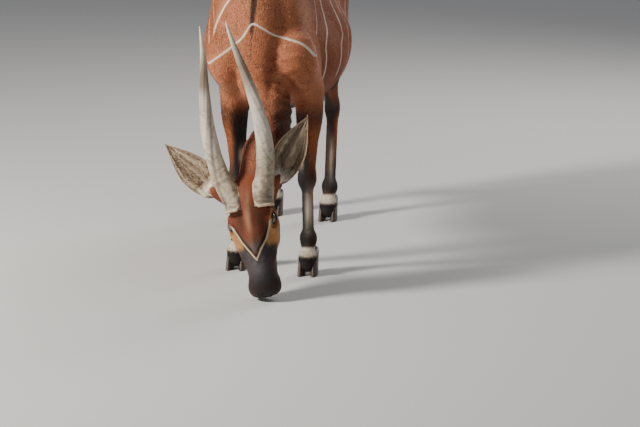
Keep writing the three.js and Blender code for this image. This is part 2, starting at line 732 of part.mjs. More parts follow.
function lidRing(side) {
  const { out, up, along } = eyeAxes(side);
  const rings = [];
  for (let i = 0; i <= LID.sides; i++) {
    const angle = (i / LID.sides) * 2 * Math.PI;
    const pointed = 1 - 0.12 * Math.abs(Math.sin(angle));
    const x = Math.cos(angle) * LID.length;
    const y = Math.sin(angle) * LID.height * pointed;
    const onBall = Math.sqrt(Math.max(EYE.radius ** 2 - Math.min(x * x + y * y, 380), 0));
    const centre = eyeCentre(side).addScaledVector(along, x).addScaledVector(up, y)
      .addScaledVector(out, onBall + 0.5);
    const away = vec(0, 0, 0).addScaledVector(along, Math.cos(angle)).addScaledVector(up, Math.sin(angle));
    const ring = [];
    for (let j = 0; j < 5; j++) {
      const a = (j / 5) * 2 * Math.PI;
      ring.push(centre.clone().addScaledVector(away, 3 + Math.cos(a) * LID.thick)
        .addScaledVector(out, Math.sin(a) * LID.thick * 0.8 - 1));
    }
    rings.push(ring);
  }
  return ringLoft(rings);
}

// A loft whose last ring meets its first
function ringLoft(rings) {
  const make = (list) => {
    list[list.length - 1] = list[0].map((p) => p.clone());
    return solidOf(new LoftGeometry(list));
  };
  const solid = make(rings);
  return solid.volume() > 0 ? solid : make(rings.map((ring) => ring.slice().reverse()));
}

function eyeOpening(side) {
  const { out, up, along } = eyeAxes(side);
  const rings = [];
  for (const reach of [6, EYE.radius + 30]) {
    const ring = [];
    for (let i = 0; i < LID.sides; i++) {
      const angle = (i / LID.sides) * 2 * Math.PI;
      ring.push(eyeCentre(side).addScaledVector(out, reach)
        .addScaledVector(along, Math.cos(angle) * LID.length * 0.92)
        .addScaledVector(up, Math.sin(angle) * LID.height * 0.88));
    }
    rings.push(ring);
  }
  return loft(rings);
}

// Mouth: a groove round the front of the lips and up both cheeks, with a
// soft roll for each lip beside it
const MOUTH = [
  vec(-43, -96, 106), vec(-45, -88, 78), vec(-43, -82, 46), vec(-32, -77, 14), vec(-16, -73, -1),
  vec(0, -72, -4), vec(16, -73, -1), vec(32, -77, 14), vec(43, -82, 46), vec(45, -88, 78), vec(43, -96, 106),
];

function sweepAlong(points, widthAt, heightAt, sides) {
  const rings = [];
  for (let i = 0; i < points.length; i++) {
    const before = points[Math.max(i - 1, 0)];
    const after = points[Math.min(i + 1, points.length - 1)];
    const along = after.clone().sub(before).normalize();
    const outward = vec(points[i].x, points[i].y + 60, points[i].z - 90).normalize();
    const across = along.clone().cross(outward).normalize();
    const out = across.clone().cross(along);
    const ring = [];
    for (let j = 0; j < sides; j++) {
      const a = ((j + 0.5) / sides) * 2 * Math.PI;
      const q = points[i].clone().addScaledVector(across, Math.cos(a) * widthAt(i))
        .addScaledVector(out, Math.sin(a) * heightAt(i));
      ring.push(headPoint(q.x, q.y, q.z));
    }
    rings.push(ring);
  }
  return loft(rings);
}

function mouthGroove() {
  const outward = MOUTH.map((p) => p.clone().add(vec(p.x * 0.22, 0, -4)));
  return sweepAlong(outward, () => 1.8, () => 11, 4);
}

function nostril(side) {
  const rings = [];
  for (let i = 0; i <= 4; i++) {
    const s = i / 4;
    const centre = vec(side * mix(19, 33, s), mix(-20, -34, s) + 5 * Math.sin(Math.PI * s), mix(6, 34, s));
    const radius = mix(5, 2.2, s) + 3 * Math.sin(Math.PI * s);
    const ring = [];
    for (let j = 0; j < 6; j++) {
      const a = (j / 6) * 2 * Math.PI;
      const wide = Math.cos(a) * radius * 0.8;
      const q = centre.clone().add(vec(side * wide, Math.sin(a) * 13, wide));
      ring.push(headPoint(q.x, q.y + 4, q.z));
    }
    rings.push(ring);
  }
  return loft(rings);
}

function headFrame() {
  return new THREE.Matrix4().makeBasis(headU, headV, headW).setPosition(MUZZLE_TIP);
}

function buildHeadNode() {
  const across = steps(-142, 142, 17);
  const deep = steps(-212, 42, 18);
  const long = graded([-26, 62, 11], [62, 460, 20]);
  let head = meshField(across, deep, long, headFrame());
  head = head.intersect(beyond(HEAD_CUT.point, HEAD_CUT.normal, GAP / 2));
  for (const side of [-1, 1]) {
    const ear = earSeat(side);
    head = head.subtract(hornHollow(side));
    head = head.subtract(postFrom(ear, EAR.stalk + 22, -GAP / 2));
    head = head.subtract(eyeOpening(side));
    head = head.add(lidRing(side));
    head = head.subtract(eyeBall(side, EYE.radius + GAP));
    head = head.subtract(nostril(side));
  }
  return largestBody(head.subtract(mouthGroove()));
}

// Leg nodes, each parted at the knee or hock and at the coronet
function legFrame(from, to) {
  const z = from.clone().sub(to).normalize();
  const y = vec(0, 1, 0).addScaledVector(z, -z.y).normalize();
  const x = y.clone().cross(z);
  return new THREE.Matrix4().makeBasis(x, y, z).setPosition(to);
}

function coronetCut(leg) {
  return { point: leg.hoof.clone().setZ(CORONET), normal: vec(0, -0.42, 0.91) };
}

function buildLegUpper(leg, joint, region, top) {
  const frame = legFrame(top, joint);
  const length = top.distanceTo(joint);
  const upper = meshField(steps(-110, 110, 22), steps(-190, 190, 26), steps(-60, length + 70, 40), frame);
  return largestBody(upper.intersect(region).intersect(beyond(joint, top.clone().sub(joint), GAP / 2)));
}

function buildLegLower(leg, joint, top) {
  const frame = legFrame(joint, leg.fetlock);
  const length = joint.distanceTo(leg.fetlock);
  const long = graded([-96, 40, 19], [40, length + 40, 42]);
  const lower = meshField(steps(-62, 62, 15), steps(-86, 98, 15.5), long, frame);
  const coronet = coronetCut(leg);
  return largestBody(lower.subtract(beyond(joint, top.clone().sub(joint), -GAP / 2))
    .intersect(beyond(coronet.point, coronet.normal, GAP / 2)));
}

// Cloven hooves: two claws to a foot, flat below
const CLAW = { width: 33, length: 80, splay: 2.5, rings: 4, sides: 8 };

function buildClaw(leg, side) {
  const rings = [];
  const top = CORONET + 34;
  for (let i = 0; i <= CLAW.rings; i++) {
    const s = i / CLAW.rings;
    const z = mix(0, top, s);
    const slope = 0.42 * z;
    const spread = mix(1, 0.84, s);
    const ring = [];
    for (let j = 0; j < CLAW.sides; j++) {
      const a = (j / CLAW.sides) * 2 * Math.PI;
      const flatInside = Math.cos(a) < 0 ? 0.62 : 1.1;
      const toe = Math.sin(a) < 0 ? CLAW.length * 0.58 : CLAW.length * 0.42;
      const x = side * (CLAW.width / 2 + CLAW.splay + Math.cos(a) * CLAW.width / 2 * flatInside * spread);
      const toeIn = Math.sin(a) < 0 ? -side * 5 * Math.sin(a) ** 2 : 0;
      ring.push(vec(leg.hoof.x + x + toeIn, leg.hoof.y + Math.sin(a) * toe * spread + slope, z));
    }
    rings.push(ring);
  }
  const coronet = coronetCut(leg);
  return largestBody(loft(rings).subtract(beyond(coronet.point, coronet.normal, -GAP / 2)));
}

// Tail: a round dock and a tuft of long locks
const TAIL = { dock: 24, end: 9, tuft: 11, lockLength: 190, lockWidth: 30, lockThick: 8, seed: 11 };

function tailSpine(s) {
  const curve = new THREE.CatmullRomCurve3([
    vec(0, 650, 1082), vec(0, 728, 1050), vec(4, 768, 940), vec(8, 776, 800),
    vec(10, 772, 1072 - TAIL_LENGTH + 110),
  ]);
  return curve.getPoint(s);
}

function buildTail() {
  const rings = [];
  for (let i = 0; i <= 11; i++) {
    const s = i / 11;
    const centre = tailSpine(s);
    const along = tailSpine(Math.min(s + 0.01, 1)).sub(tailSpine(Math.max(s - 0.01, 0))).normalize();
    const side = vec(1, 0, 0);
    const back = along.clone().cross(side).normalize();
    const radius = mix(TAIL.dock, TAIL.end, s ** 0.7);
    rings.push(Array.from({ length: 8 }, (_, j) => {
      const a = (j / 8) * 2 * Math.PI;
      return centre.clone().addScaledVector(side, Math.cos(a) * radius)
        .addScaledVector(back, Math.sin(a) * radius);
    }));
  }
  let tail = loft(rings);
  const random = seededRandom(TAIL.seed);
  for (let i = 0; i < TAIL.tuft; i++) {
    const s = mix(0.62, 0.96, i / (TAIL.tuft - 1));
    const angle = i * 2.51;
    const outward = vec(Math.cos(angle), Math.sin(angle), 0);
    const down = vec(outward.x * 0.13, outward.y * 0.13 + 0.02, -1).normalize();
    const length = TAIL.lockLength * (0.8 + 0.35 * random()) * mix(0.8, 1, s);
    const across = vec(-outward.y, outward.x, 0);
    const root = tailSpine(s).addScaledVector(outward, 5);
    const lock = lockGeometry(root, down, across, outward, length, TAIL.lockWidth, TAIL.lockThick, 4);
    tail = tail.add(loft(lock));
  }
  return largestBody(tail.intersect(beyond(TAIL_CUT.point, TAIL_CUT.normal, GAP / 2)));
}

// Materials
const COLOURS = {
  coat: [0xa8603a, 0.62],
  face: [0x7a4230, 0.6],
  lowerLeg: [0x4a3028, 0.6],
  tail: [0x6b4030, 0.65],
  horn: [0xb0a492, 0.45],
  ear: [0x8a5a42, 0.65],
  eye: [0x1a100c, 0.08],
  hoof: [0x3c3028, 0.4],
};

const model = new THREE.Group();

// Corners of a cut closer than the weld become one, and triangles without area go
function weldedGeometry(solid) {
  const mesh = solid.getMesh();
  const snapped = Float32Array.from(mesh.vertProperties, (x) => Math.round(x / WELD) * WELD);
  const geometry = new THREE.BufferGeometry();
  geometry.setAttribute('position', new THREE.Float32BufferAttribute(snapped, 3));
  geometry.setIndex(Array.from(mesh.triVerts));
  const merged = mergeVertices(geometry, WELD / 4);
  const corners = merged.index.array;
  const kept = [];
  for (let i = 0; i < corners.length; i += 3) {
    const [a, b, c] = corners.slice(i, i + 3);
    if (a !== b && b !== c && c !== a) kept.push(a, b, c);
  }
  merged.setIndex(kept);
  merged.computeVertexNormals();
  return merged;
}

function place(name, solid, [colour, roughness]) {
  const geometry = weldedGeometry(solid);
  const material = new THREE.MeshStandardMaterial({ color: colour, roughness, metalness: 0 });
  const node = new THREE.Mesh(geometry, material);
  node.name = name;
  model.add(node);
}

place('torso', buildTorso(), COLOURS.coat);
place('neck', buildNeckNode(), COLOURS.coat);
place('head', buildHeadNode(), COLOURS.face);
place('tail', buildTail(), COLOURS.tail);
for (const [word, side] of [['left', 1], ['right', -1]]) {
  place(`horn_${word}`, buildHorn(side), COLOURS.horn);
  place(`ear_${word}`, buildEar(side), COLOURS.ear);
  place(`eye_${word}`, eyeBall(side, EYE.radius), COLOURS.eye);
}
for (const leg of FRONT_LEGS) {
  const region = frontLegRegion(leg, 0);
  place(`forearm_${leg.name}`, buildLegUpper(leg, leg.knee, region, leg.elbow), COLOURS.coat);
  place(`forefoot_${leg.name}`, buildLegLower(leg, leg.knee, leg.elbow), COLOURS.lowerLeg);
}
for (const leg of HIND_LEGS) {
  const region = hindLegRegion(leg, 0);
  place(`gaskin_${leg.name}`, buildLegUpper(leg, leg.hock, region, leg.stifle), COLOURS.coat);
  place(`hindfoot_${leg.name}`, buildLegLower(leg, leg.hock, leg.stifle), COLOURS.lowerLeg);
}
for (const [end, legs] of [['fore', FRONT_LEGS], ['hind', HIND_LEGS]]) {
  for (const leg of legs) {
    for (const [word, side] of [['left', 1], ['right', -1]]) {
      place(`claw_${end}_${leg.name}_${word}`, buildClaw(leg, side), COLOURS.hoof);
    }
  }
}

// The model stands with the middle of its box over the origin
const box = new THREE.Box3().setFromObject(model);
const middle = box.getCenter(vec(0, 0, 0));
model.position.set(-middle.x, -middle.y, 0);
model.updateMatrixWorld(true);

export default model;
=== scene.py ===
# A grazing bongo cow at life size, in metres. +Z is up, the head is towards
# -Y and the animal's own left is +X.
import bmesh
import bpy
import numpy as np
from mathutils import Matrix, Vector


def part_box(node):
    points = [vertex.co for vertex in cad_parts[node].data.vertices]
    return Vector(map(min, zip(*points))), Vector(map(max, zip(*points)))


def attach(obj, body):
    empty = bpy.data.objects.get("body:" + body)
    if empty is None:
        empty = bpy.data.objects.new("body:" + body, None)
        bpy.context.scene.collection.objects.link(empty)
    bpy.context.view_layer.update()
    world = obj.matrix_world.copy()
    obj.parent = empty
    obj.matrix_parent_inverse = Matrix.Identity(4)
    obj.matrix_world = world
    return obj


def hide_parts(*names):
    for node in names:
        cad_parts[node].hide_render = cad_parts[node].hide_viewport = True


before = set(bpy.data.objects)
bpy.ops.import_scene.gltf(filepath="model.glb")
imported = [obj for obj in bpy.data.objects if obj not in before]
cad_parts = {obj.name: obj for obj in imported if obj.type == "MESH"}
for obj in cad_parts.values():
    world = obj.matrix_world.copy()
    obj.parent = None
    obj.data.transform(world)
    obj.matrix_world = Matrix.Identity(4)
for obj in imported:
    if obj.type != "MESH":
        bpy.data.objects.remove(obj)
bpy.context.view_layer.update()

# Flesh: the core under the skin, with an ellipsoid for a muscle and a tapered
# rod for a bone, melted into one field. It repeats the solids' measures.
WITHERS = 1.120
CROUP = 1.178
BELLY = 0.536
BARREL_WIDTH = 0.544
BARREL_LEVEL = 0.768
ELBOW = 0.655
KNEE = 0.350
HOCK = 0.440
FETLOCK = 0.128
CORONET = 0.058
TAIL_LENGTH = 0.560
SWAY = 0.15
REACH_MARGIN = 0.03

# The head's own frame: u to the animal's left, v out of the face, w from the
# tip of the muzzle up to the poll. EYE, HORN_SEAT and EAR_SEAT are in it.
MUZZLE_TIP = np.array([0.112, -0.915, 0.020])
HEAD_PITCH = np.radians(8)
HEAD_ROLL = np.radians(12.8)
EYE = np.array([0.066, -0.058, 0.264])
HORN_SEAT = np.array([0.047, -0.038, 0.344])
EAR_SEAT = np.array([0.104, -0.080, 0.384])
upright = np.array([0, np.sin(HEAD_PITCH), np.cos(HEAD_PITCH)])
HEAD_V = np.array([0, -np.cos(HEAD_PITCH), np.sin(HEAD_PITCH)])
HEAD_U = np.array([np.cos(HEAD_ROLL), 0, 0]) + upright * np.sin(HEAD_ROLL)
HEAD_W = upright * np.cos(HEAD_ROLL) - np.array([np.sin(HEAD_ROLL), 0, 0])
HEAD_AXES = np.array([HEAD_U, HEAD_V, HEAD_W])


def head_point(u, v, w):
    return MUZZLE_TIP + u * HEAD_U + v * HEAD_V + w * HEAD_W


# The body is described about an origin between the forelegs, and SHIFT moves
# it to where the left eye's solid says that it stands.
low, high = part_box("eye_left")
SHIFT = np.array((low + high) / 2) - head_point(*EYE)
SHIFT[2] = 0
FLESH = []


def muscle(centre, half, blend, axes=np.eye(3)):
    centre = np.array(centre, float)

    def distance(x, y, z):
        x, y, z = x - centre[0], y - centre[1], z - centre[2]
        near = steep = 0
        for axis, radius in zip(axes, half):
            t = (x * axis[0] + y * axis[1] + z * axis[2]) / radius
            near = near + t * t
            steep = steep + (t / radius) ** 2
        near, steep = np.sqrt(near), np.sqrt(steep)
        return np.where(steep < 1e-6, -min(half), near * (near - 1) / np.maximum(steep, 1e-6))

    FLESH.append((distance, centre, max(half) + blend + REACH_MARGIN, blend))


def bone(start, end, start_radius, end_radius, blend, flat=1.0, side=(1, 0, 0)):
    start, end = np.array(start, float), np.array(end, float)
    axis = end - start

    def distance(x, y, z):
        x, y, z = x - start[0], y - start[1], z - start[2]
        t = np.clip((x * axis[0] + y * axis[1] + z * axis[2]) / (axis @ axis), 0, 1)
        x, y, z = x - axis[0] * t, y - axis[1] * t, z - axis[2] * t
        across = (x * side[0] + y * side[1] + z * side[2]) * (1 / flat - 1)
        x, y, z = x + side[0] * across, y + side[1] * across, z + side[2] * across
        return np.sqrt(x * x + y * y + z * z) - (start_radius + (end_radius - start_radius) * t)

    reach = np.linalg.norm(axis) / 2 + max(start_radius, end_radius)
    FLESH.append((distance, (start + end) / 2, reach + blend + REACH_MARGIN, blend))


# The forequarters hang to the animal's left under the withers.
def swayed(x, y, z):
    return x + SWAY * max(WITHERS - 0.04 - z, 0) * min(max((-y - 0.05) / 0.4, 0), 1), y, z


def trunk():
    muscle((-0.004, 0.045, BARREL_LEVEL), (BARREL_WIDTH / 2, 0.480, BARREL_LEVEL - BELLY), 0.040)
    muscle((-0.028, 0.060, 0.925), (0.212, 0.520, CROUP - 0.933), 0.060)
    muscle(swayed(0, -0.330, 0.852), (0.172, 0.325, WITHERS - 0.852), 0.060)
    muscle((0, 0.100, 0.705), (0.212, 0.380, 0.705 - BELLY), 0.060)
    bone((0, -0.430, WITHERS - 0.062), (0, -0.240, WITHERS - 0.050), 0.050, 0.066, 0.060)
    bone((0, -0.240, WITHERS - 0.050), (0, 0.430, CROUP - 0.082), 0.066, 0.076, 0.060)
    muscle((0, 0.450, CROUP - 0.205), (0.158, 0.250, 0.198), 0.060)
    muscle(swayed(0, -0.545, 0.775), (0.105, 0.095, 0.120), 0.060)
    muscle((0, 0.430, 0.750), (0.110, 0.130, 0.066), 0.050)
    bone((0, 0.560, 1.090), (0, 0.672, 1.072), 0.078, 0.040, 0.060)
    for side in (-1, 1):
        muscle((side * 0.085, 0.555, 0.895), (0.090, 0.148, 0.205), 0.060)
        muscle((side * 0.108, 0.340, 1.068), (0.050, 0.084, 0.036), 0.060)
        muscle(swayed(side * 0.112, -0.455, 0.915), (0.056, 0.098, 0.205), 0.050,
               ((0.98, 0.06, side * 0.19), (0, 0.95, -0.31), (side * -0.2, 0.3, 0.93)))
        muscle(swayed(side * 0.116, -0.555, 0.812), (0.070, 0.072, 0.084), 0.040)
        bone(swayed(side * 0.122, -0.550, 0.800), swayed(side * 0.122, -0.400, ELBOW + 0.015),
             0.080, 0.060, 0.040, 0.85)
        muscle(swayed(side * 0.130, -0.405, 0.765), (0.058, 0.108, 0.118), 0.040)
        muscle((side * 0.122, 0.400, 0.790), (0.084, 0.182, 0.212), 0.050,
               ((1, 0, 0), (0, 0.93, -0.37), (0, 0.37, 0.93)))
        bone((side * 0.112, 0.425, 0.900), (side * 0.134, 0.285, 0.715), 0.108, 0.082, 0.040, 0.72)
        muscle((side * 0.092, 0.325, 0.612), (0.052, 0.095, 0.062), 0.050)
        bone((side * 0.106, 0.600, 0.890), (side * 0.116, 0.530, 0.650), 0.084, 0.052, 0.050, 0.8)


NECK_PATH = [((0.014, -0.430, 0.930), 0.160, 0.74), ((0.050, -0.528, 0.765), 0.110, 0.66),
             ((0.096, -0.600, 0.622), 0.084, 0.58), ((0.093, -0.640, 0.540), 0.082, 0.58),
             ((0.070, -0.672, 0.470), 0.084, 0.88), ((0.054, -0.740, 0.362), 0.079, 0.98)]


def neck():
    for (a, upper, flat_a), (b, lower, flat_b) in zip(NECK_PATH, NECK_PATH[1:]):
        bone(a, b, upper, lower, 0.050, (flat_a + flat_b) / 2)


FRONT_LEGS = [
    dict(side=1, elbow=(0.184, -0.402, ELBOW), knee=(0.183, -0.434, KNEE),
         fetlock=(0.187, -0.432, FETLOCK), hoof=(0.190, -0.462, 0)),
    dict(side=-1, elbow=(-0.086, -0.398, ELBOW), knee=(-0.076, -0.396, KNEE),
         fetlock=(-0.078, -0.378, FETLOCK), hoof=(-0.084, -0.408, 0)),
]
HIND_LEGS = [
    dict(side=1, stifle=(0.140, 0.262, 0.705), hock=(0.122, 0.560, HOCK),
         fetlock=(0.118, 0.520, FETLOCK), hoof=(0.117, 0.480, 0)),
    dict(side=-1, stifle=(-0.140, 0.285, 0.705), hock=(-0.120, 0.620, HOCK),
         fetlock=(-0.116, 0.590, FETLOCK), hoof=(-0.115, 0.552, 0)),
]


def foot(leg, cannon_top, cannon_radius):
    fetlock = np.array(leg["fetlock"])
    pastern = np.array([*leg["hoof"][:2], CORONET + 0.008])
    tendon = np.array([0, 0.017, 0])
    bone(cannon_top, fetlock, cannon_radius, cannon_radius, 0.014, 0.95)
    bone(cannon_top + tendon, fetlock + tendon, 0.015, 0.013, 0.016)
    bone(fetlock + (0, -0.003, 0.006), fetlock + (0, 0.006, -0.004), 0.028, 0.028, 0.016)
    bone(fetlock, pastern, 0.025, 0.027, 0.018)
    bone(pastern + (0, -0.006, 0), pastern + (0, 0.014, -0.002), 0.029, 0.027, 0.012)
    bone(pastern, pastern + (0, -0.006, -0.024), 0.030, 0.032, 0.012)
    for side in (-1, 1):
        dewclaw = fetlock + (side * 0.015, 0.033, -0.008)
        bone(dewclaw, dewclaw + (side * 0.002, 0.007, -0.016), 0.009, 0.006, 0.008)


def front_leg(leg):
    elbow, knee = np.array(leg["elbow"]), np.array(leg["knee"])
    bone(elbow + (leg["side"] * 0.004, 0, 0), knee, 0.062, 0.033, 0.034, 0.82)
    muscle(elbow + (knee - elbow) * 0.22 + (leg["side"] * 0.006, -0.006, 0), (0.042, 0.060, 0.092), 0.030)
    muscle(knee, (0.034, 0.037, 0.048), 0.018)
    bone(elbow + (0, 0.048, 0.018), elbow + (0, 0.034, -0.060), 0.030, 0.020, 0.030)
    foot(leg, knee + (0, 0.002, -0.025), 0.022)


def hind_leg(leg):
    stifle, hock = np.array(leg["stifle"]), np.array(leg["hock"])
    heel = hock + (0, 0.042, 0.022)
    bone(stifle, hock, 0.078, 0.034, 0.040, 0.66)
    muscle(stifle + (hock - stifle) * 0.25 + (0, 0.020, 0.030), (0.048, 0.088, 0.110), 0.040)
    muscle(stifle + (0, -0.012, 0.014), (0.046, 0.044, 0.056), 0.040)
    bone(stifle + (hock - stifle) * 0.45 + (0, 0.070, 0.070), heel, 0.044, 0.020, 0.034, 0.62)
    bone(stifle + (hock - stifle) * 0.6 + (0, 0.040, 0.036), hock + (0, 0.024, 0.016),
         0.044, 0.028, 0.030, 0.5)
    bone(heel, hock + (0, 0.024, -0.060), 0.021, 0.017, 0.020)
    muscle(hock, (0.032, 0.040, 0.054), 0.020)
    foot(leg, hock + (0, 0.004, -0.030), 0.024)


def head_muscle(u, v, w, half, blend):
    muscle(head_point(u, v, w), half, blend, HEAD_AXES)


def head_bone(start, end, start_radius, end_radius, blend, flat=1.0):
    bone(head_point(*start), head_point(*end), start_radius, end_radius, blend, flat, HEAD_U)


def head():
    head_muscle(0, -0.078, 0.318, (0.068, 0.072, 0.088), 0.030)
    head_muscle(0, -0.044, 0.292, (0.058, 0.038, 0.086), 0.030)
    head_muscle(0, -0.092, 0.372, (0.058, 0.056, 0.044), 0.036)
    head_bone((0, -0.036, 0.262), (0, -0.034, 0.070), 0.036, 0.033, 0.026, 1.05)
    head_bone((0, -0.066, 0.235), (0, -0.060, 0.060), 0.051, 0.045, 0.026, 1.14)
    head_muscle(0, -0.048, 0.040, (0.057, 0.043, 0.043), 0.018)
    head_muscle(0, -0.027, 0.022, (0.041, 0.025, 0.022), 0.014)
    head_bone((0, -0.096, 0.048), (0, -0.112, 0.150), 0.025, 0.030, 0.022)
    head_muscle(0, -0.092, 0.034, (0.030, 0.021, 0.024), 0.014)
    for side in (-1, 1):
        head_bone((side * 0.022, -0.104, 0.080), (side * 0.046, -0.140, 0.236), 0.024, 0.032, 0.030, 0.7)
        head_muscle(side * 0.052, -0.112, 0.226, (0.027, 0.050, 0.066), 0.026)
        head_muscle(side * 0.048, -0.142, 0.262, (0.024, 0.036, 0.044), 0.026)
        head_muscle(side * 0.061, -0.060, 0.268, (0.031, 0.032, 0.036), 0.018)
        head_bone((side * 0.060, -0.066, 0.232), (side * 0.036, -0.062, 0.155), 0.025, 0.026, 0.026)
        head_muscle(side * 0.033, -0.052, 0.030, (0.022, 0.030, 0.026), 0.014)
        head_muscle(side * 0.031, -0.076, 0.042, (0.020, 0.018, 0.032), 0.012)
        head_bone((side * 0.036, -0.050, 0.318), (side * HORN_SEAT[0], HORN_SEAT[1] - 0.009, 0.344),
                  0.032, 0.032, 0.018)
        head_bone((side * 0.056, -0.088, 0.350),
                  (side * (EAR_SEAT[0] + 0.008), EAR_SEAT[1], EAR_SEAT[2] + 0.009), 0.034, 0.023, 0.022)


TAIL_PATH = np.array([(0, 0.650, 1.082), (0, 0.728, 1.050), (0.004, 0.768, 0.940), (0.008, 0.776, 0.800),
                      (0.010, 0.772, 1.182 - TAIL_LENGTH)])


def tail_point(s):
    t = np.asarray(s, float) * (len(TAIL_PATH) - 1)
    i = np.clip(t.astype(int), 0, len(TAIL_PATH) - 2)
    f = (t - i)[..., None]
    p0 = TAIL_PATH[np.maximum(i - 1, 0)]
    p1, p2 = TAIL_PATH[i], TAIL_PATH[i + 1]
    p3 = TAIL_PATH[np.minimum(i + 2, len(TAIL_PATH) - 1)]
    return p1 + 0.5 * f * (p2 - p0 + f * (2 * p0 - 5 * p1 + 4 * p2 - p3 + f * (3 * (p1 - p2) + p3 - p0)))


def tail_dock():
    ends = tail_point(np.linspace(0, 1, 9))
    radii = 0.022 + (0.008 - 0.022) * np.linspace(0, 1, 9) ** 0.7
    for a, b, ra, rb in zip(ends, ends[1:], radii, radii[1:]):
        bone(a, b, ra, rb, 0.016)


trunk()
neck()
for leg in FRONT_LEGS:
    front_leg(leg)


for leg in HIND_LEGS:
    hind_leg(leg)


head()
tail_dock()


def melt(d, other, blend):
    h = np.maximum(blend - np.abs(d - other), 0) / blend
    return np.minimum(d, other) - h * h * blend / 4


def body_field(p):
    d = np.full(len(p), 1.0)
    for distance, middle, reach, blend in FLESH:
        near = np.flatnonzero(((p - middle) ** 2).sum(1) < reach ** 2)
        d[near] = melt(d[near], distance(*p[near].T), blend)
    return d


def body_on_grid(lines):
    value = np.full([len(line) for line in lines], 1.0)
    for distance, middle, reach, blend in FLESH:
        spans = [slice(*np.searchsorted(line, (c - reach, c + reach))) for line, c in zip(lines, middle)]
        x, y, z = (line[span] for line, span in zip(lines, spans))
        other = distance(x[:, None, None], y[None, :, None], z[None, None, :])
        value[tuple(spans)] = melt(value[tuple(spans)], other, blend)
    return value


# Skin: one closed hide over trunk, neck, head, legs and tail. A vertex sits in
# each grid cell that the surface crosses, and the head, the feet and the rims
# of eye, nostril and mouth are cut finer before all is settled.
SKIN_BOX = ((-0.312, 0.320), (-0.975, 0.825), (0.006, 1.215))
CELL = 0.0090
COAT = 0.0035
SHORT_COAT = 0.0013
EYE_RADIUS = 0.020
LID_LENGTH = 0.0185
LID_HEIGHT = 0.0108
LOWER_LID = 0.82
MOUTH = np.array([(-0.043, -0.096, 0.106), (-0.045, -0.088, 0.078), (-0.043, -0.082, 0.046),
                  (-0.032, -0.077, 0.014), (-0.016, -0.073, -0.001), (0, -0.072, -0.004),
                  (0.016, -0.073, -0.001), (0.032, -0.077, 0.014), (0.043, -0.082, 0.046),
                  (0.045, -0.088, 0.078), (0.043, -0.096, 0.106)])
NOSTRIL = np.array([(0.019, -0.020, 0.006), (0.025, -0.020, 0.013), (0.031, -0.025, 0.022),
                    (0.033, -0.034, 0.033)])


def unit(a):
    return a / np.maximum(np.linalg.norm(a, axis=-1, keepdims=True), 1e-12)


def smooth(x, low, high):
    t = np.clip((x - low) / (high - low), 0, 1)
    return t * t * (3 - 2 * t)


def bump(x, centre, width):
    return np.exp(-((x - centre) / width) ** 2)


def in_head(p):
    return (p - MUZZLE_TIP) @ HEAD_AXES.T


def head_direction(u, v, w):
    return unit(u * HEAD_U + v * HEAD_V + w * HEAD_W)


def coat_depth(p):
    face = smooth(in_head(p)[:, 2], 0.42, 0.30) * smooth(p[:, 1], -0.62, -0.66)
    feet = smooth(p[:, 2], 0.52, 0.34)
    return COAT - (COAT - SHORT_COAT) * np.maximum(face, feet)


# Vertices and quads of the surface on which the values of a grid pass zero
def surface_net(value, lines):
    inside = value < 0
    cells = tuple(n - 1 for n in value.shape)
    total = np.zeros(cells + (3,))
    crossings = np.zeros(cells)

    def corner(a, offset):
        return a[tuple(slice(o, o + n) for o, n in zip(offset, cells))]

    grid = np.stack(np.meshgrid(*lines, indexing="ij"), -1)
    for axis in range(3):
        for b in (0, 1):
            for c in (0, 1):
                start = [b, c]
                start.insert(axis, 0)
                end = list(start)
                end[axis] = 1
                v0, v1 = corner(value, start), corner(value, end)
                cut = (v0 < 0) != (v1 < 0)
                t = (v0[cut] / (v0[cut] - v1[cut]))[:, None]
                total[cut] += corner(grid, start)[cut] * (1 - t) + corner(grid, end)[cut] * t
                crossings[cut] += 1
    used = crossings > 0
    index = np.full(cells, -1)
    index[used] = np.arange(used.sum())
    vertices = total[used] / crossings[used][:, None]
    quads = []
    for axis in range(3):
        other = [a for a in range(3) if a != axis]
        here = [slice(1, n) for n in cells]
        ahead = list(here)
        here[axis] = slice(0, cells[axis])
        ahead[axis] = slice(1, cells[axis] + 1)
        first = inside[tuple(here)]
        cut = np.argwhere(first != inside[tuple(ahead)])
        cut[:, other] += 1
        ring = []
        for sa, sb in ((0, 0), (-1, 0), (-1, -1), (0, -1)):
            cell = cut.copy()
            cell[:, other[0]] += sa
            cell[:, other[1]] += sb
            ring.append(index[tuple(cell.T)])
        ring = np.stack(ring, 1)
        outward = inside[tuple(cut.T)] == (axis != 1)
        ring[~outward] = ring[~outward][:, ::-1]
        quads.append(ring)
    return vertices, np.concatenate(quads)


# Points moved down the field's slope until they lie so deep in the flesh
def settle(p, depth, steps=4):
    probe = 0.0008
    for _ in range(steps):
        d = body_field(p) + depth
        slope = np.stack([body_field(p + probe * e) + depth - d for e in np.eye(3)], 1) / probe
        move = -d[:, None] * slope / np.maximum((slope ** 2).sum(1), 0.2)[:, None]
        p = p + np.clip(move, -CELL, CELL)
    return p, unit(slope)


# Eye axes: x along the slit, y up the lids, z out of the head
def eye_frame(side):
    out = head_direction(side * 0.86, 0.48, -0.12)
    along = head_direction(side * 0.61, 0, 0.79)
    up = unit(np.cross(out, along))
    return head_point(side * EYE[0], EYE[1], EYE[2]), np.array([np.cross(up, out), up, out])


# A point in the eye's axes, and how far out it is, with 1 at the lids' edge
def slit(p, side):
    centre, axes = eye_frame(side)
    q = (p - centre) @ axes.T
    height = np.where(q[:, 1] > 0, LID_HEIGHT, LID_HEIGHT * LOWER_LID)
    return q, np.sqrt((q[:, 0] / LID_LENGTH) ** 2 + (q[:, 1] / height) ** 2)


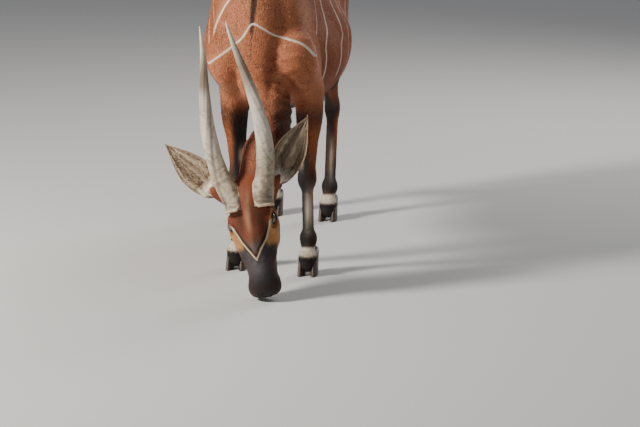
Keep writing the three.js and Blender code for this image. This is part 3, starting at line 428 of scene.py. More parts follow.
def path_distance(p, path):
    best = np.full(len(p), 9.0)
    for a, b in zip(path, path[1:]):
        t = np.clip(((p - a) @ (b - a)) / ((b - a) @ (b - a)), 0, 1)
        best = np.minimum(best, np.linalg.norm(p - a - t[:, None] * (b - a), axis=1))
    return best


def nostril_distance(h):
    return path_distance(np.column_stack([np.abs(h[:, 0]), h[:, 1:]]), NOSTRIL)


# How far each point of the hide stands out or sinks: folds, lips and ribs
def relief(p):
    h = in_head(p)
    x, y, z = p.T
    u, v, w = np.abs(h[:, 0]), h[:, 1], h[:, 2]
    on_head = smooth(y, -0.63, -0.67) * smooth(w, 0.46, 0.40)
    out = np.zeros(len(p))
    out += on_head * 0.0030 * bump(u, 0, 0.010) * smooth(w, 0.10, 0.16) * smooth(w, 0.40, 0.33)
    out -= on_head * 0.0030 * bump(u, 0.022, 0.010) * bump(w, 0.285, 0.040)
    out -= on_head * 0.0022 * bump(u, 0.040, 0.010) * bump(w, 0.190, 0.040) * smooth(v, -0.07, -0.03)
    out += on_head * 0.0016 * np.sin(w * 520 + u * 130) * bump(u, 0.074, 0.024) * bump(w, 0.302, 0.022)
    mouth = path_distance(h, MOUTH)
    out += on_head * (0.0020 * bump(mouth, 0.0075, 0.0045) - 0.0052 * bump(mouth, 0, 0.0022))
    nose = nostril_distance(h)
    out += on_head * (0.0022 * bump(nose, 0.0085, 0.0040) - 0.0150 * smooth(nose, 0.0058, 0.0015))
    out -= on_head * 0.0022 * bump(u, 0, 0.0018) * smooth(w, 0.030, 0.006) * smooth(v, -0.08, -0.06)

    # Folds of loose skin across the neck, and the grooves between it and the shoulder
    on_neck = smooth(y, -0.46, -0.54) * smooth(z, 0.42, 0.50) * smooth(z, 0.96, 0.84)
    wave = 0.5 + 0.5 * np.sin((z + 0.35 * x) * 150 + 5 * np.sin(x * 22) + 3 * np.sin(y * 31))
    on_neck = on_neck * smooth(x, -0.075, -0.035) * (0.3 + 0.7 * bump(z, 0.69, 0.11))
    out += 0.0052 * on_neck * (wave ** 3 - 0.35)

    def groove(place, pivot, slope, width, level, height, start):
        line = x - place - slope * (z - pivot)
        return smooth(y, start, start - 0.08) * bump(line, 0, width) * bump(z, level, height)

    out -= 0.020 * groove(0.092, 0.76, 0.06, 0.017, 0.775, 0.085, -0.48)
    out -= 0.020 * groove(0.142, 0.70, -0.50, 0.020, 0.680, 0.075, -0.46)
    out -= 0.012 * groove(-0.050, 0.72, 0.10, 0.016, 0.660, 0.100, -0.48)

    # Ribs, the flank's fold and the one behind the elbow
    side = np.abs(x)
    ribs = 0.5 + 0.5 * np.sin((y + 0.25 * (z - 0.8)) * 105)
    out += 0.0016 * ribs * bump(y, 0.02, 0.20) * bump(z, 0.80, 0.13)
    flank = bump(y - 0.30 + 0.35 * (z - 0.70), 0, 0.025) * bump(z, 0.74, 0.12)
    out -= 0.010 * flank * smooth(side, 0.08, 0.14)
    girth = bump(y + 0.335 - 0.2 * (z - 0.75), 0, 0.020) * bump(z, 0.74, 0.12)
    out -= 0.006 * girth * smooth(side, 0.08, 0.13)
    return out


# A mesh of quads that is cut finer, level by level, in the region given
def grown(mesh_vertices, faces, region, levels):
    mesh = bpy.data.meshes.new("net")
    mesh.from_pydata(mesh_vertices.tolist(), [], faces.tolist())
    bm = bmesh.new()
    bm.from_mesh(mesh)
    for level in range(levels):
        co = np.array([v.co for v in bm.verts])
        wanted = region(co, level)
        edges = [e for e in bm.edges if wanted[e.verts[0].index] and wanted[e.verts[1].index]]
        bmesh.ops.subdivide_edges(bm, edges=edges, cuts=1, use_grid_fill=True)
        bm.verts.index_update()
    bmesh.ops.triangulate(bm, faces=[f for f in bm.faces if len(f.verts) > 4])
    bm.to_mesh(mesh)
    bm.free()
    return mesh


def fine_region(p, level):
    h = in_head(p)
    w = h[:, 2]
    head_part = (p[:, 1] < -0.66) & (w < 0.44) & (np.abs(h[:, 0]) < 0.15)
    if level == 0:
        return head_part | (p[:, 2] < 0.17)
    eye = np.minimum(*[np.linalg.norm(p - eye_frame(side)[0], axis=1) for side in (-1, 1)])
    mouth, nose = path_distance(h, MOUTH), nostril_distance(h)
    if level == 1:
        return head_part & ((eye < 0.040) | (mouth < 0.016) | (nose < 0.020) | (w < 0.03))
    return head_part & ((eye < 0.030) | (mouth < 0.0075) | (nose < 0.011))


# The hide dips to the ball inside the lids, which roll over its edge
def draw_lids(points):
    for side in (-1, 1):
        q, rho = slit(points, side)
        near = np.flatnonzero((rho < 2.4) & (q[:, 2] > 0))
        q, rho = q[near], rho[near]
        ball = np.sqrt(np.maximum(EYE_RADIUS ** 2 - q[:, 0] ** 2 - q[:, 1] ** 2, 0.0104 ** 2))
        sunk = ball - 0.009 * smooth(rho, 1.0, 0.86) + 0.0024 * smooth(rho, 0.90, 1.04)
        sunk = sunk + 0.0012 * bump(rho, 1.30, 0.12) - 0.0022 * bump(rho, 1.62, 0.16)
        q[:, 2] += (sunk - q[:, 2]) * smooth(rho, 2.3, 1.25)
        centre, axes = eye_frame(side)
        points[near] = centre + q @ axes


lines = [np.arange(start, end, CELL) for start, end in SKIN_BOX]
net, quads = surface_net(body_on_grid(lines) + COAT, lines)
skin_mesh = grown(net, quads, fine_region, 3)
points = np.zeros(len(skin_mesh.vertices) * 3)
skin_mesh.vertices.foreach_get("co", points)
points = points.reshape(-1, 3)
points, outward = settle(points, coat_depth(points))
points = points + outward * relief(points)[:, None]
draw_lids(points)
skin_mesh.vertices.foreach_set("co", (points + SHIFT).ravel())
skin_mesh.update()


# Coat colours: short hair of many browns with white lines, black leg marks and
# a pale chevron on the face. Skin and tufts ask the same functions for them.
def tone(red, green, blue):
    c = np.array([red, green, blue]) / 255
    return np.where(c <= 0.04045, c / 12.92, ((c + 0.055) / 1.055) ** 2.4)


CHESTNUT = tone(182, 102, 56)
RUSSET = tone(190, 122, 86)
MAROON = tone(116, 60, 38)
UMBER = tone(70, 42, 28)
SOOT = tone(30, 25, 25)
CREAM = tone(236, 222, 200)
TAN = tone(198, 142, 84)
SLATE = tone(66, 62, 66)


# Soft blotches from 0 to 1, from waves of eight directions
def mottle(p, scale, seed):
    rng = np.random.default_rng(seed)
    total = np.zeros(len(p))
    for octave in (1.0, 2.1):
        for _ in range(4):
            way = unit(rng.normal(size=3)) * scale * octave
            total += np.sin(p @ way + rng.uniform(0, 6.3) + 1.3 * np.sin(p @ np.roll(way, 1) * 0.7)) / octave
    return np.clip(0.5 + total / 8, 0, 1)


# Coats of colour laid over each other, each a tint and how much it covers
def painted(colour, *coats):
    for tint, amount in coats:
        amount = np.clip(amount, 0, 1)[:, None]
        colour = colour * (1 - amount) + tint * amount
    return colour


# Signed distance from a line that is drawn as a graph over one coordinate
def line_gap(a, b, path):
    path = np.array(path)
    here, ahead = np.interp(a, *path.T), np.interp(a + 0.004, *path.T)
    return (b - here) / np.sqrt(1 + ((ahead - here) / 0.004) ** 2)


def rounded(path, samples, passes):
    a = np.linspace(path[0][0], path[-1][0], samples)
    b = np.interp(a, *np.array(path).T)
    for _ in range(passes):
        b[1:-1] = (b[:-2] + 2 * b[1:-1] + b[2:]) / 4
    return np.column_stack([a, b])


CHEST_STRIPE = rounded([(-0.140, 0.786), (-0.114, 0.805), (-0.065, 0.841), (-0.028, 0.871), (-0.002, 0.897),
                        (0.018, 0.941), (0.057, 0.920), (0.100, 0.890), (0.144, 0.879), (0.186, 0.868),
                        (0.214, 0.848), (0.236, 0.815)], 120, 16)
SHOULDER_STRIPE = [(0.850, -0.142), (0.870, -0.140), (0.898, -0.136), (0.931, -0.122), (0.981, -0.095),
                   (1.010, -0.074)]
FLANK_STRIPES = {
    1: (-0.430, -0.330, -0.215, -0.075, 0.030, 0.128, 0.222, 0.312, 0.400, 0.486, 0.570, 0.670),
    -1: (-0.455, -0.355, -0.255, -0.115, 0.005, 0.104, 0.198, 0.290, 0.384, 0.470, 0.556, 0.656)}


CHEVRON = [(0, 0.134), (0.021, 0.168), (0.045, 0.202), (0.061, 0.240), (0.070, 0.262)]
STRIPE_PITCH = 0.095
STRIPE_HALF_WIDTH = 0.0033
CHEVRON_HALF_WIDTH = 0.0029
LINE_EDGE = (0.75, 1.25)
LINE_COVER = 0.95
LINE_TINTS = [CREAM, CREAM, CREAM, tone(214, 190, 148)]


# The white lines, each as a distance in half widths and where it shows. The
# first counts the flank's stripes, and is a whole number on each of them.
def white_lines(p):
    x, y, z = p.T
    lean = 0.62 * np.maximum(z - 0.79, 0) - 0.35 * np.maximum(z - 0.98, 0) + 0.30 * np.maximum(0.74 - z, 0)
    place = y - lean - 0.010 * np.sin(z * 17 + y * 12) - 0.003 * np.sin(z * 55 + y * 9)
    order = np.arange(len(FLANK_STRIPES[1]))
    left, right = (np.interp(place, FLANK_STRIPES[side], order) for side in (1, -1))
    number = np.where(x > 0, left, right)
    flank = smooth(np.abs(x), 0.018, 0.030) * smooth(z + 0.015 * np.sin(y * 34), 0.640, 0.672)
    flank = flank * ((number > 0.5) & (number < len(order) - 1.5)) * smooth(y, -0.44, -0.40)
    h = in_head(p)
    chest = smooth(y, -0.50, -0.54) * smooth(z, 0.75, 0.775) * smooth(x, 0.246, 0.232)
    shoulder = smooth(x, -0.04, -0.07) * smooth(z, 0.860, 0.885) * smooth(y, -0.44, -0.47)
    face = smooth(y, -0.645, -0.665) * smooth(h[:, 1], -0.088, -0.066) * smooth(h[:, 2], 0.268, 0.258)
    return [(number, flank),
            (line_gap(x, z, CHEST_STRIPE) / STRIPE_HALF_WIDTH, chest),
            (line_gap(z, x, SHOULDER_STRIPE) / STRIPE_HALF_WIDTH, shoulder),
            (line_gap(np.abs(h[:, 0]), h[:, 2], CHEVRON) / CHEVRON_HALF_WIDTH, face)]


def stripe_distance(number):
    return np.abs((number + 0.5) % 1 - 0.5) * STRIPE_PITCH


def line_amounts(p):
    (number, flank), *others = white_lines(p)
    low, high = LINE_EDGE
    amounts = [smooth(stripe_distance(number) / STRIPE_HALF_WIDTH, high, low) * flank]
    return amounts + [smooth(np.abs(gap), high, low) * shown for gap, shown in others]


def trunk_colour(p):
    x, y, z = p.T
    cloud, fine = mottle(p, 9, 3), mottle(p, 70, 5)
    throat = smooth(z, 0.70, 0.60) * smooth(y, -0.50, -0.54) * smooth(z, 0.36, 0.46)
    spine = np.abs(x - 0.021 * smooth(y, -0.46, -0.60)) / (0.0016 + 0.0098 * smooth(z, 0.835, 1.02))
    ridge = smooth(spine, 1.15, 0.85) * smooth(z, 0.780, 0.835) * ((z > 1.0) | (y < -0.54))
    return painted(
        CHESTNUT,
        (RUSSET, 0.80 * smooth(y, -0.30, -0.50)),
        (MAROON, 0.40 * cloud * smooth(z, 0.95, 1.12) + 0.26 * smooth(cloud, 0.5, 0.7) * fine),
        # painted shade: the left side of the forequarters is darker
        (MAROON, 0.60 * smooth(x, 0.10, 0.20) * smooth(y, -0.46, -0.30) * (0.5 + 0.5 * cloud)),
        (UMBER, 0.95 * smooth(z + 0.03 * cloud, 0.665, 0.575) * smooth(y, -0.60, -0.48)),
        (SOOT, 0.80 * smooth(z + 0.02 * cloud, 0.610, 0.560) * smooth(y, -0.50, -0.40)),
        # the throat is darker, and its left side darker still with painted shade
        (MAROON, 0.65 * throat),
        (UMBER, 0.75 * throat * smooth(x, 0.085, 0.125)),
        (SOOT, 0.90 * ridge))


def leg_colour(p, colour):
    x, y, z = p.T
    cloud = mottle(p, 40, 9)
    for leg in FRONT_LEGS + HIND_LEGS:
        is_front = "knee" in leg
        joint = np.array(leg["knee" if is_front else "hock"])
        back = y - joint[1]
        inner = -leg["side"] * (x - joint[0])
        mark = smooth(z, 0.62, 0.50) * (z < 0.62)
        mark = mark * (np.abs(x - joint[0]) < 0.10) * (np.abs(back) < (0.11 if is_front else 0.20))
        cannon_lean = (leg["fetlock"][1] - joint[1]) * np.clip((joint[2] - z) / 0.22, 0, 1)
        fore = smooth(back - cannon_lean, 0.004, -0.018)
        colour = painted(
            colour,
            (UMBER, mark * (0.35 + 0.5 * cloud)),
            (CHESTNUT, 0.75 * mark * smooth(inner, -0.004, -0.020) * smooth(z, 0.20, 0.28)),
            (SOOT, 0.94 * mark * smooth(inner, -0.008, 0.002) * smooth(back, 0.03, 0.0) * is_front),
            (CREAM, 0.9 * mark * smooth(inner, 0.004, 0.016) * bump(z, joint[2] + 0.07, 0.030)),
            (SOOT, 0.88 * mark * fore * bump(z, joint[2] - 0.005, 0.075)),
            (SOOT, 0.80 * mark * smooth(z, 0.205, 0.165) * smooth(z, 0.105, 0.130)),
            (CREAM, 0.72 * mark * fore * smooth(inner, 0.010, -0.006) * bump(z, 0.240, 0.060)),
            (CREAM, 0.93 * mark * smooth(z + 0.008 * cloud, 0.112, 0.100) * smooth(z, 0.066, 0.078)),
            (SOOT, 0.85 * mark * smooth(z, 0.074, 0.066)))
    return colour


BROW_EDGE = [(0, 0.134), (0.021, 0.168), (0.045, 0.202), (0.061, 0.240), (0.075, 0.272), (0.120, 0.360)]
CHEEK_SPOTS = ((-0.100, 0.160, 0.0095), (-0.128, 0.200, 0.0115))


def face_part(p, h):
    return smooth(p[:, 1], -0.645, -0.665) * smooth(h[:, 2], 0.47, 0.43)


def face_colour(p, colour):
    h = in_head(p)
    u, v, w = np.abs(h[:, 0]), h[:, 1], h[:, 2]
    cloud, fine = mottle(p, 60, 13), mottle(p, 300, 17)
    # a painted highlight along the raised ridge down the middle of the face
    middle = bump(h[:, 0] - 0.010 * smooth(w, 0.26, 0.36), 0, 0.0075) * smooth(w, 0.225, 0.265)
    below = np.interp(u, *np.array(BROW_EDGE).T) - w
    band = smooth(below, -0.027, -0.019) * smooth(u, 0.070, 0.060) * (0.85 + 0.15 * fine)
    band = band * (1 - 0.6 * smooth(u, 0.012, 0.004) * smooth(w, 0.150, 0.160))
    muzzle = smooth(below, 0.004, 0.020) * smooth(w, 0.040, 0.075) * smooth(v, -0.060, -0.035)
    cheek = smooth(below, 0.003, 0.008) * smooth(u, 0.036, 0.048) * smooth(w, 0.165, 0.190)
    cheek = cheek * smooth(v, -0.118, -0.092)
    by_eye = np.sqrt((u - 0.069) ** 2 + (w - 0.250) ** 2)
    mouth = path_distance(h, MOUTH)
    pad = smooth(w, 0.040, 0.030) * smooth(u, 0.026, 0.018)
    lip = bump(mouth, 0.008, 0.0040) * smooth(u, 0.010, 0.018) * smooth(v, -0.090, -0.076)
    face = painted(
        tone(112, 53, 27),
        (tone(138, 73, 43), 0.60 * cloud + 0.40 * smooth(w, 0.33, 0.40)),
        # painted sheen: a lighter band down the middle of the forehead
        (tone(170, 116, 88), 0.45 * bump(u, 0, 0.018) * smooth(w, 0.19, 0.24) * smooth(w, 0.36, 0.30)),
        # painted highlight on that ridge
        (tone(194, 146, 110), 0.62 * middle * (0.6 + 0.4 * fine) * smooth(w, 0.40, 0.34)),
        # painted shade in the hollows of the forehead below the horns
        (UMBER, 0.80 * bump(u, 0.030, 0.013) * bump(w, 0.284, 0.036)),
        (UMBER, 0.60 * bump(u, 0.044, 0.015) * bump(w, 0.235, 0.034)),
        (CHESTNUT, 0.80 * smooth(u, 0.050, 0.066) * smooth(w, 0.28, 0.20) * smooth(w, 0.13, 0.16)),
        (tone(92, 86, 84), 0.80 * bump(w, 0.178, 0.026) * smooth(u, 0.036, 0.014)),
        (SOOT, 0.95 * band),
        (SLATE, 0.75 * smooth(below, 0.003, 0.016) * (0.45 + 0.55 * fine) * smooth(w, 0.03, 0.06)),
        # painted sheen, greyish, on the front of the muzzle
        (tone(112, 108, 112), 0.55 * muzzle * bump(u, 0.002, 0.026) * (0.5 + 0.5 * fine)),
        (TAN, 0.94 * cheek * (0.75 + 0.25 * fine)),
        (UMBER, 0.80 * smooth(w, 0.150, 0.110) * smooth(u, 0.030, 0.050)),
        (SOOT, 0.70 * smooth(w, 0.100, 0.070) * (0.6 + 0.4 * fine)))
    for spot_v, spot_w, size in CHEEK_SPOTS:
        gap = np.sqrt((v - spot_v) ** 2 + (w - spot_w) ** 2 * 0.7)
        face = painted(face, (CREAM, 0.95 * smooth(gap, size * 1.2, size * 0.85) * smooth(u, 0.02, 0.03)))
    face = painted(
        face,
        (CREAM, 0.90 * smooth(by_eye, 0.0095, 0.0060) * smooth(v, -0.085, -0.065)),
        (CREAM, 0.92 * smooth(v + 0.35 * w, -0.070, -0.078) * smooth(w, 0.075, 0.050)),
        (CREAM, 0.80 * lip * smooth(w, 0.06, 0.04)),
        (tone(40, 33, 33), 0.95 * pad * smooth(v, -0.066, -0.058)),
        (SOOT, 0.98 * smooth(mouth, 0.0030, 0.0016)))
    for side in (-1, 1):
        q, rho = slit(p, side)
        here = q[:, 2] > -0.01
        face = painted(
            face,
            (TAN, 0.60 * here * bump(rho, 2.1, 0.35) * smooth(q[:, 1], 0.0, 0.010)),
            (MAROON, 0.70 * here * bump(rho, 1.55, 0.25)),
            (SOOT, 0.97 * here * smooth(rho, 1.32, 1.16)))
    return painted(colour, (face, face_part(p, h)))


# The hide's ground colour, and the same with the white lines over it
def ground_colour(p):
    tail = smooth(p[:, 1], 0.715, 0.735)
    colour = painted(leg_colour(p, trunk_colour(p)),
                     (MAROON, 0.6 * tail),
                     (SOOT, 0.9 * tail * smooth(p[:, 2], 0.86, 0.78)))
    return face_colour(p, colour)


def hide_colour(p):
    lines = [(tint, LINE_COVER * amount) for tint, amount in zip(LINE_TINTS, line_amounts(p))]
    return painted(ground_colour(p), *lines)


def hide_roughness(p):
    h = in_head(p)
    u, v, w = np.abs(h[:, 0]), h[:, 1], h[:, 2]
    pad = smooth(w, 0.040, 0.030) * smooth(u, 0.030, 0.020) * smooth(v, -0.066, -0.058)
    return 0.66 - face_part(p, h) * (0.20 * smooth(w, 0.15, 0.10) + 0.14 * pad)


def coloured(mesh, colour, rough):
    layer = mesh.attributes.new("hide", "FLOAT_COLOR", "POINT")
    layer.data.foreach_set("color", np.column_stack([colour, rough]).astype(np.float32).ravel())


coloured(skin_mesh, ground_colour(points), hide_roughness(points))
for index, (gap, shown) in enumerate(white_lines(points)):
    line = skin_mesh.attributes.new(f"line_{index}", "FLOAT_VECTOR", "POINT")
    line.data.foreach_set("vector", np.column_stack([gap, shown, 0 * gap]).astype(np.float32).ravel())


# Any shader node: its type, its settings, and what its sockets hold. A Wire is
# a socket's output, and shader arithmetic is written with it as plain sums.
def feed(tree, slot, value):
    if isinstance(value, Wire):
        tree.links.new(value.socket, slot)
    elif slot.type == "RGBA":
        slot.default_value = (*value, 1.0)
    else:
        slot.default_value = value


def node(tree, kind, settings, sockets):
    item = tree.nodes.new("ShaderNode" + kind)
    for name, value in settings.items():
        setattr(item, name, value)
    for name, value in sockets.items():
        feed(tree, item.inputs[name], value)
    return item


# Where a Mix node of colours has its factor, its two colours and its result
MIX_FACTOR, MIX_A, MIX_B, MIX_COLOUR = 0, 6, 7, 2


class Wire:
    def __init__(self, tree, socket):
        self.tree, self.socket = tree, socket

    def through(self, kind, settings, sockets, output=0):
        return Wire(self.tree, node(self.tree, kind, settings, sockets).outputs[output])

    def maths(self, operation, *others):
        return self.through("Math", {"operation": operation}, dict(enumerate((self, *others))))

    def __add__(self, other):
        return self.maths("ADD", other)

    def __sub__(self, other):
        return self.maths("SUBTRACT", other)

    def __mul__(self, other):
        return self.maths("MULTIPLY", other)

    def __rsub__(self, other):
        return (self * -1.0) + other

    __radd__ = __add__
    __rmul__ = __mul__

    def ramp(self, low, high, to_low=0.0, to_high=1.0):
        return self.through("MapRange", {"interpolation_type": "SMOOTHSTEP"},
                            {"Value": self, "From Min": low, "From Max": high, "To Min": to_low,
                             "To Max": to_high})

    def mixed(self, a, b):
        return self.through("Mix", {"data_type": "RGBA"}, {MIX_FACTOR: self, MIX_A: a, MIX_B: b}, MIX_COLOUR)

    def scaled(self, amount):
        return self.through("VectorMath", {"operation": "SCALE"}, {0: self, "Scale": amount})


def attribute(tree, name, output="Color"):
    return Wire(tree, node(tree, "Attribute", {"attribute_name": name}, {}).outputs[output])


def noise(tree, scale, detail, rough, stretch=None):
    place = Wire(tree, node(tree, "TexCoord", {}, {}).outputs["Object"])
    if stretch:
        place = place.through("Mapping", {}, {"Vector": place, "Scale": stretch})
    return place.through("TexNoise", {}, {"Vector": place, "Scale": scale, "Detail": detail,
                                          "Roughness": rough}, "Fac")


def bumped(tree, height, distance, strength):
    sockets = {"Height": height, "Distance": distance, "Strength": strength}
    return height.through("Bump", {}, sockets, "Normal")


def shader(name):
    material = bpy.data.materials.new(name)
    material.use_nodes = True
    tree = material.node_tree
    return material, tree, next(item for item in tree.nodes if item.type == "BSDF_PRINCIPLED")


def dress(tree, body, sockets):
    for name, value in sockets.items():
        feed(tree, body.inputs[name], value)


def added(name, mesh, material, slot, *nodes):
    piece = bpy.data.objects.new(name, mesh)
    bpy.context.scene.collection.objects.link(piece)
    mesh.materials.append(material)
    mesh.polygons.foreach_set("use_smooth", [True] * len(mesh.polygons))
    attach(piece, "root")
    if nodes:
        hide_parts(*nodes)
    return piece


# Hide: the skin with its shortest hair, matt on the body and wetter at the nose.
# The lines' edges are cut in the material, so that they stay sharp.
def hide_material():
    material, tree, body = shader("hide")
    colour = attribute(tree, "hide")
    streak = noise(tree, 260, 4, 0.7)
    patch = noise(tree, 34, 3, 0.6)
    pores = noise(tree, 620, 4, 0.75) * 0.7 + noise(tree, 1500, 2, 0.5) * 0.3
    for index, tint in enumerate(LINE_TINTS):
        parts = node(tree, "SeparateXYZ", {}, {0: attribute(tree, f"line_{index}", "Vector")}).outputs
        gap, shown = Wire(tree, parts[0]), Wire(tree, parts[1])
        if index == 0:
            gap = ((gap + 0.5).maths("FRACT") - 0.5) * (STRIPE_PITCH / STRIPE_HALF_WIDTH)
        cover = gap.maths("ABSOLUTE").ramp(*LINE_EDGE, LINE_COVER, 0.0) * shown
        colour = cover.mixed(colour, tint)
    dress(tree, body, {
        "Base Color": colour.scaled(streak.ramp(0.30, 0.72, 0.74, 1.16) * patch.ramp(0.25, 0.75, 0.88, 1.10)),
        "Roughness": attribute(tree, "hide", "Alpha") + (streak - 0.5) * 0.18,
        "Specular IOR Level": 0.28,
        "Sheen Weight": 0.02,
        "Sheen Roughness": 0.45,
        "Normal": bumped(tree, pores, 0.0012, 0.6)})
    return material


SIDES = (("left", 1), ("right", -1))
LEG_NODES = [f"{part}_{word}" for word, _ in SIDES for part in ("forearm", "forefoot", "gaskin", "hindfoot")]
hide = hide_material()
added("skin", skin_mesh, hide, "coat", "torso", "neck", "head", "tail", *LEG_NODES)


# A mesh from rings of points: one wall, closed by a face over each end or, when
# it is a loop, joined to itself. Its faces are turned to look outwards.
def ring_mesh(name, rings, loop=False):
    rings = np.array(rings)
    rows, columns = rings.shape[:2]
    points = rings.reshape(-1, 3)
    i, j = np.meshgrid(np.arange(rows if loop else rows - 1), np.arange(columns), indexing="ij")
    after, beside = (i + 1) % rows, (j + 1) % columns
    corners = (i * columns + j, i * columns + beside, after * columns + beside, after * columns + j)
    quads = np.stack(corners, -1).reshape(-1, 4)
    a, b, c = (points[quads[:, k]] for k in range(3))
    outside = (np.cross(b - a, c - a) * (a - rings.mean(1)[i.ravel()])).sum() > 0
    turn = 1 if outside else -1
    faces = quads[:, ::turn].tolist()
    if not loop:
        ends = list(range(columns)), list(range((rows - 1) * columns, rows * columns))
        faces += [ends[0][::-turn], ends[1][::turn]]
    mesh = bpy.data.meshes.new(name)
    mesh.from_pydata((points + SHIFT).tolist(), [], faces)
    return mesh


# Angles once round
def turns(count):
    return np.linspace(0, 2 * np.pi, count, endpoint=False)


# Eyes: dark wet balls with a wide level pupil, a brown iris and a thin pale rim.
# Each is a piece of its own and stands in the hollow between its lids.
PUPIL_LENGTH = 0.0078
PUPIL_HEIGHT = 0.0042
IRIS_RADIUS = 0.0108
WHITE_RADIUS = 0.0150
EYE_ROUGHNESS = 0.06
EYE_ROWS = 40
EYE_COLUMNS = 56


def eyes():
    material, tree, body = shader("eye")
    dress(tree, body, {"Base Color": attribute(tree, "hide"), "Roughness": EYE_ROUGHNESS, "Coat Weight": 0.35,
                       "Coat Roughness": 0.02, "IOR": 1.38})
    around = turns(EYE_COLUMNS)
    for word, side in SIDES:
        centre, axes = eye_frame(side)
        rings = []
        for polar in np.linspace(0.004, np.pi - 0.004, EYE_ROWS):
            radius = EYE_RADIUS * (1 + 0.035 * bump(polar, 0, 0.5)) - 0.0003
            ring = np.stack([np.cos(around) * np.sin(polar), np.sin(around) * np.sin(polar),
                             np.cos(polar) + 0 * around], 1)
            rings.append(centre + ring * radius @ axes)
        mesh = ring_mesh(f"eye_{word}", rings)
        x, y, _ = ((np.concatenate(rings) - centre) @ axes).T
        from_middle = np.hypot(x, y)
        fibres = 0.5 + 0.5 * np.sin(np.arctan2(y, x) * 46)
        colour = painted(
            tone(66, 40, 24),
            (tone(96, 62, 36), 0.5 * fibres),
            (tone(8, 8, 12), smooth(np.hypot(x / PUPIL_LENGTH, y / PUPIL_HEIGHT), 1.1, 0.9)),
            (tone(18, 13, 11), smooth(from_middle, IRIS_RADIUS, IRIS_RADIUS + 0.0014)),
            (tone(150, 130, 112), 0.6 * smooth(from_middle, WHITE_RADIUS, WHITE_RADIUS + 0.0016)))
        coloured(mesh, colour, np.full(len(x), EYE_ROUGHNESS))
        added(f"eyeball_{word}", mesh, material, "eye", f"eye_{word}")


eyes()


# Lids: the bare dark rims between which the ball shows, a rolled edge of skin
# that is thicker along the upper lid and at the front corner.
LID_STEPS = 96


def lids():
    turn = turns(12)[:, None]
    for word, side in SIDES:
        centre, axes = eye_frame(side)
        rings = []
        for angle in turns(LID_STEPS):
            upper = np.sin(angle) > 0
            height = LID_HEIGHT * (1 if upper else LOWER_LID)
            x = LID_LENGTH * np.cos(angle) * 1.01
            y = height * np.sin(angle) * (1 - 0.10 * abs(np.sin(angle)))
            ball = np.sqrt(max(EYE_RADIUS ** 2 - x * x - y * y, 0.0080 ** 2))
            away = unit(np.array([np.cos(angle) * 0.7, np.sin(angle), 0.0]))
            thick = 0.0019 + 0.0007 * max(np.cos(angle), 0) ** 4 + 0.0005 * upper
            section = np.array([x, y, ball + 0.0004]) + away * 0.0012
            section = section + np.cos(turn) * away * thick * 1.15 + np.sin(turn) * np.array([0, 0, thick])
            rings.append(centre + section @ axes)
        mesh = ring_mesh(f"lid_{word}", rings, loop=True)
        colour = painted(SOOT, (UMBER, 0.4 * mottle(np.concatenate(rings), 500, 3)))
        coloured(mesh, colour, np.full(len(colour), 0.38))
        added(f"lid_{word}", mesh, hide, "coat")


lids()


# Horns: keratin sheaths with a keel, grown in a slow twist. Wrinkled and
# grey near the skull, smooth and beige above, worn to cream at the tips.
HORN_LENGTH = 0.620
HORN_RADIUS = 0.037
HORN_TIP_RADIUS = 0.0018
HORN_ROOT = -0.05
HORN_ASIDE = 0.0065
HORN_TWIST = 3.6
HORN_BOW = {1: (0.049, 0.012), -1: (0.046, -0.011)}
HORN_ROWS = 240
HORN_COLUMNS = 56
WRINKLE_DEPTH = 0.0009
BONE_GREY = tone(192, 176, 150)
BONE_BEIGE = tone(216, 205, 188)
BONE_BROWN = tone(122, 102, 80)
BONE_CREAM = tone(240, 228, 204)
BONE_DARK = tone(84, 68, 54)
WORN_GREY = tone(112, 98, 82)


def horn_spine(side, s):
    bow, lean = HORN_BOW[side]
    grown = np.clip(s, 0, 1)
    u = side * (HORN_SEAT[0] + bow * grown * (1 - grown) ** 1.7 / 0.169 + lean * s)
    u = u + HORN_ASIDE * (1 - grown) ** 4
    v = HORN_SEAT[1] + HORN_LENGTH * (0.12 * s * s - 0.07 * s)
    w = HORN_SEAT[2] + HORN_LENGTH * s
    return head_point(u[:, None], v[:, None], w[:, None])


def horn_rings(side):
    s = np.linspace(HORN_ROOT, 1, HORN_ROWS)
    angle = turns(HORN_COLUMNS)
    spine = horn_spine(side, s)
    along = unit(horn_spine(side, s + 0.01) - horn_spine(side, s - 0.01))
    across = unit(np.cross(HEAD_U, along))
    right = np.cross(along, across)
    radius = HORN_TIP_RADIUS + (HORN_RADIUS - HORN_TIP_RADIUS) * np.minimum(1 - s, 1) ** 0.72 * (1 - 0.1 * s)
    s = s[:, None]
    keel = 1 + 0.13 * bump(angle, np.pi, 0.5) - 0.05 * np.cos(2 * angle)
    keel = keel + 0.05 * bump(angle, np.pi + 1.9, 0.30) * (1 - s)
    shift = s + 0.004 * np.sin(angle * 3 + s * 40)
    wrinkle = np.sin(shift * 170 + 3.1 * np.sin(shift * 37)) * (0.55 + 0.45 * np.sin(angle * 2 + shift * 55))
    wrinkle = wrinkle * WRINKLE_DEPTH * smooth(s, 0.34, 0.03)
    flutes = np.sin(angle * 9 + 1.7 * np.sin(s * 9)) * 0.0004 * smooth(s, 1.0, 0.7)
    reach = radius[:, None] * keel + wrinkle + flutes
    turned = side * (angle + HORN_TWIST * s)
    rings = (spine[:, None] + right[:, None] * (np.cos(turned) * reach)[..., None]
             + across[:, None] * (np.sin(turned) * reach)[..., None])
    return rings, wrinkle


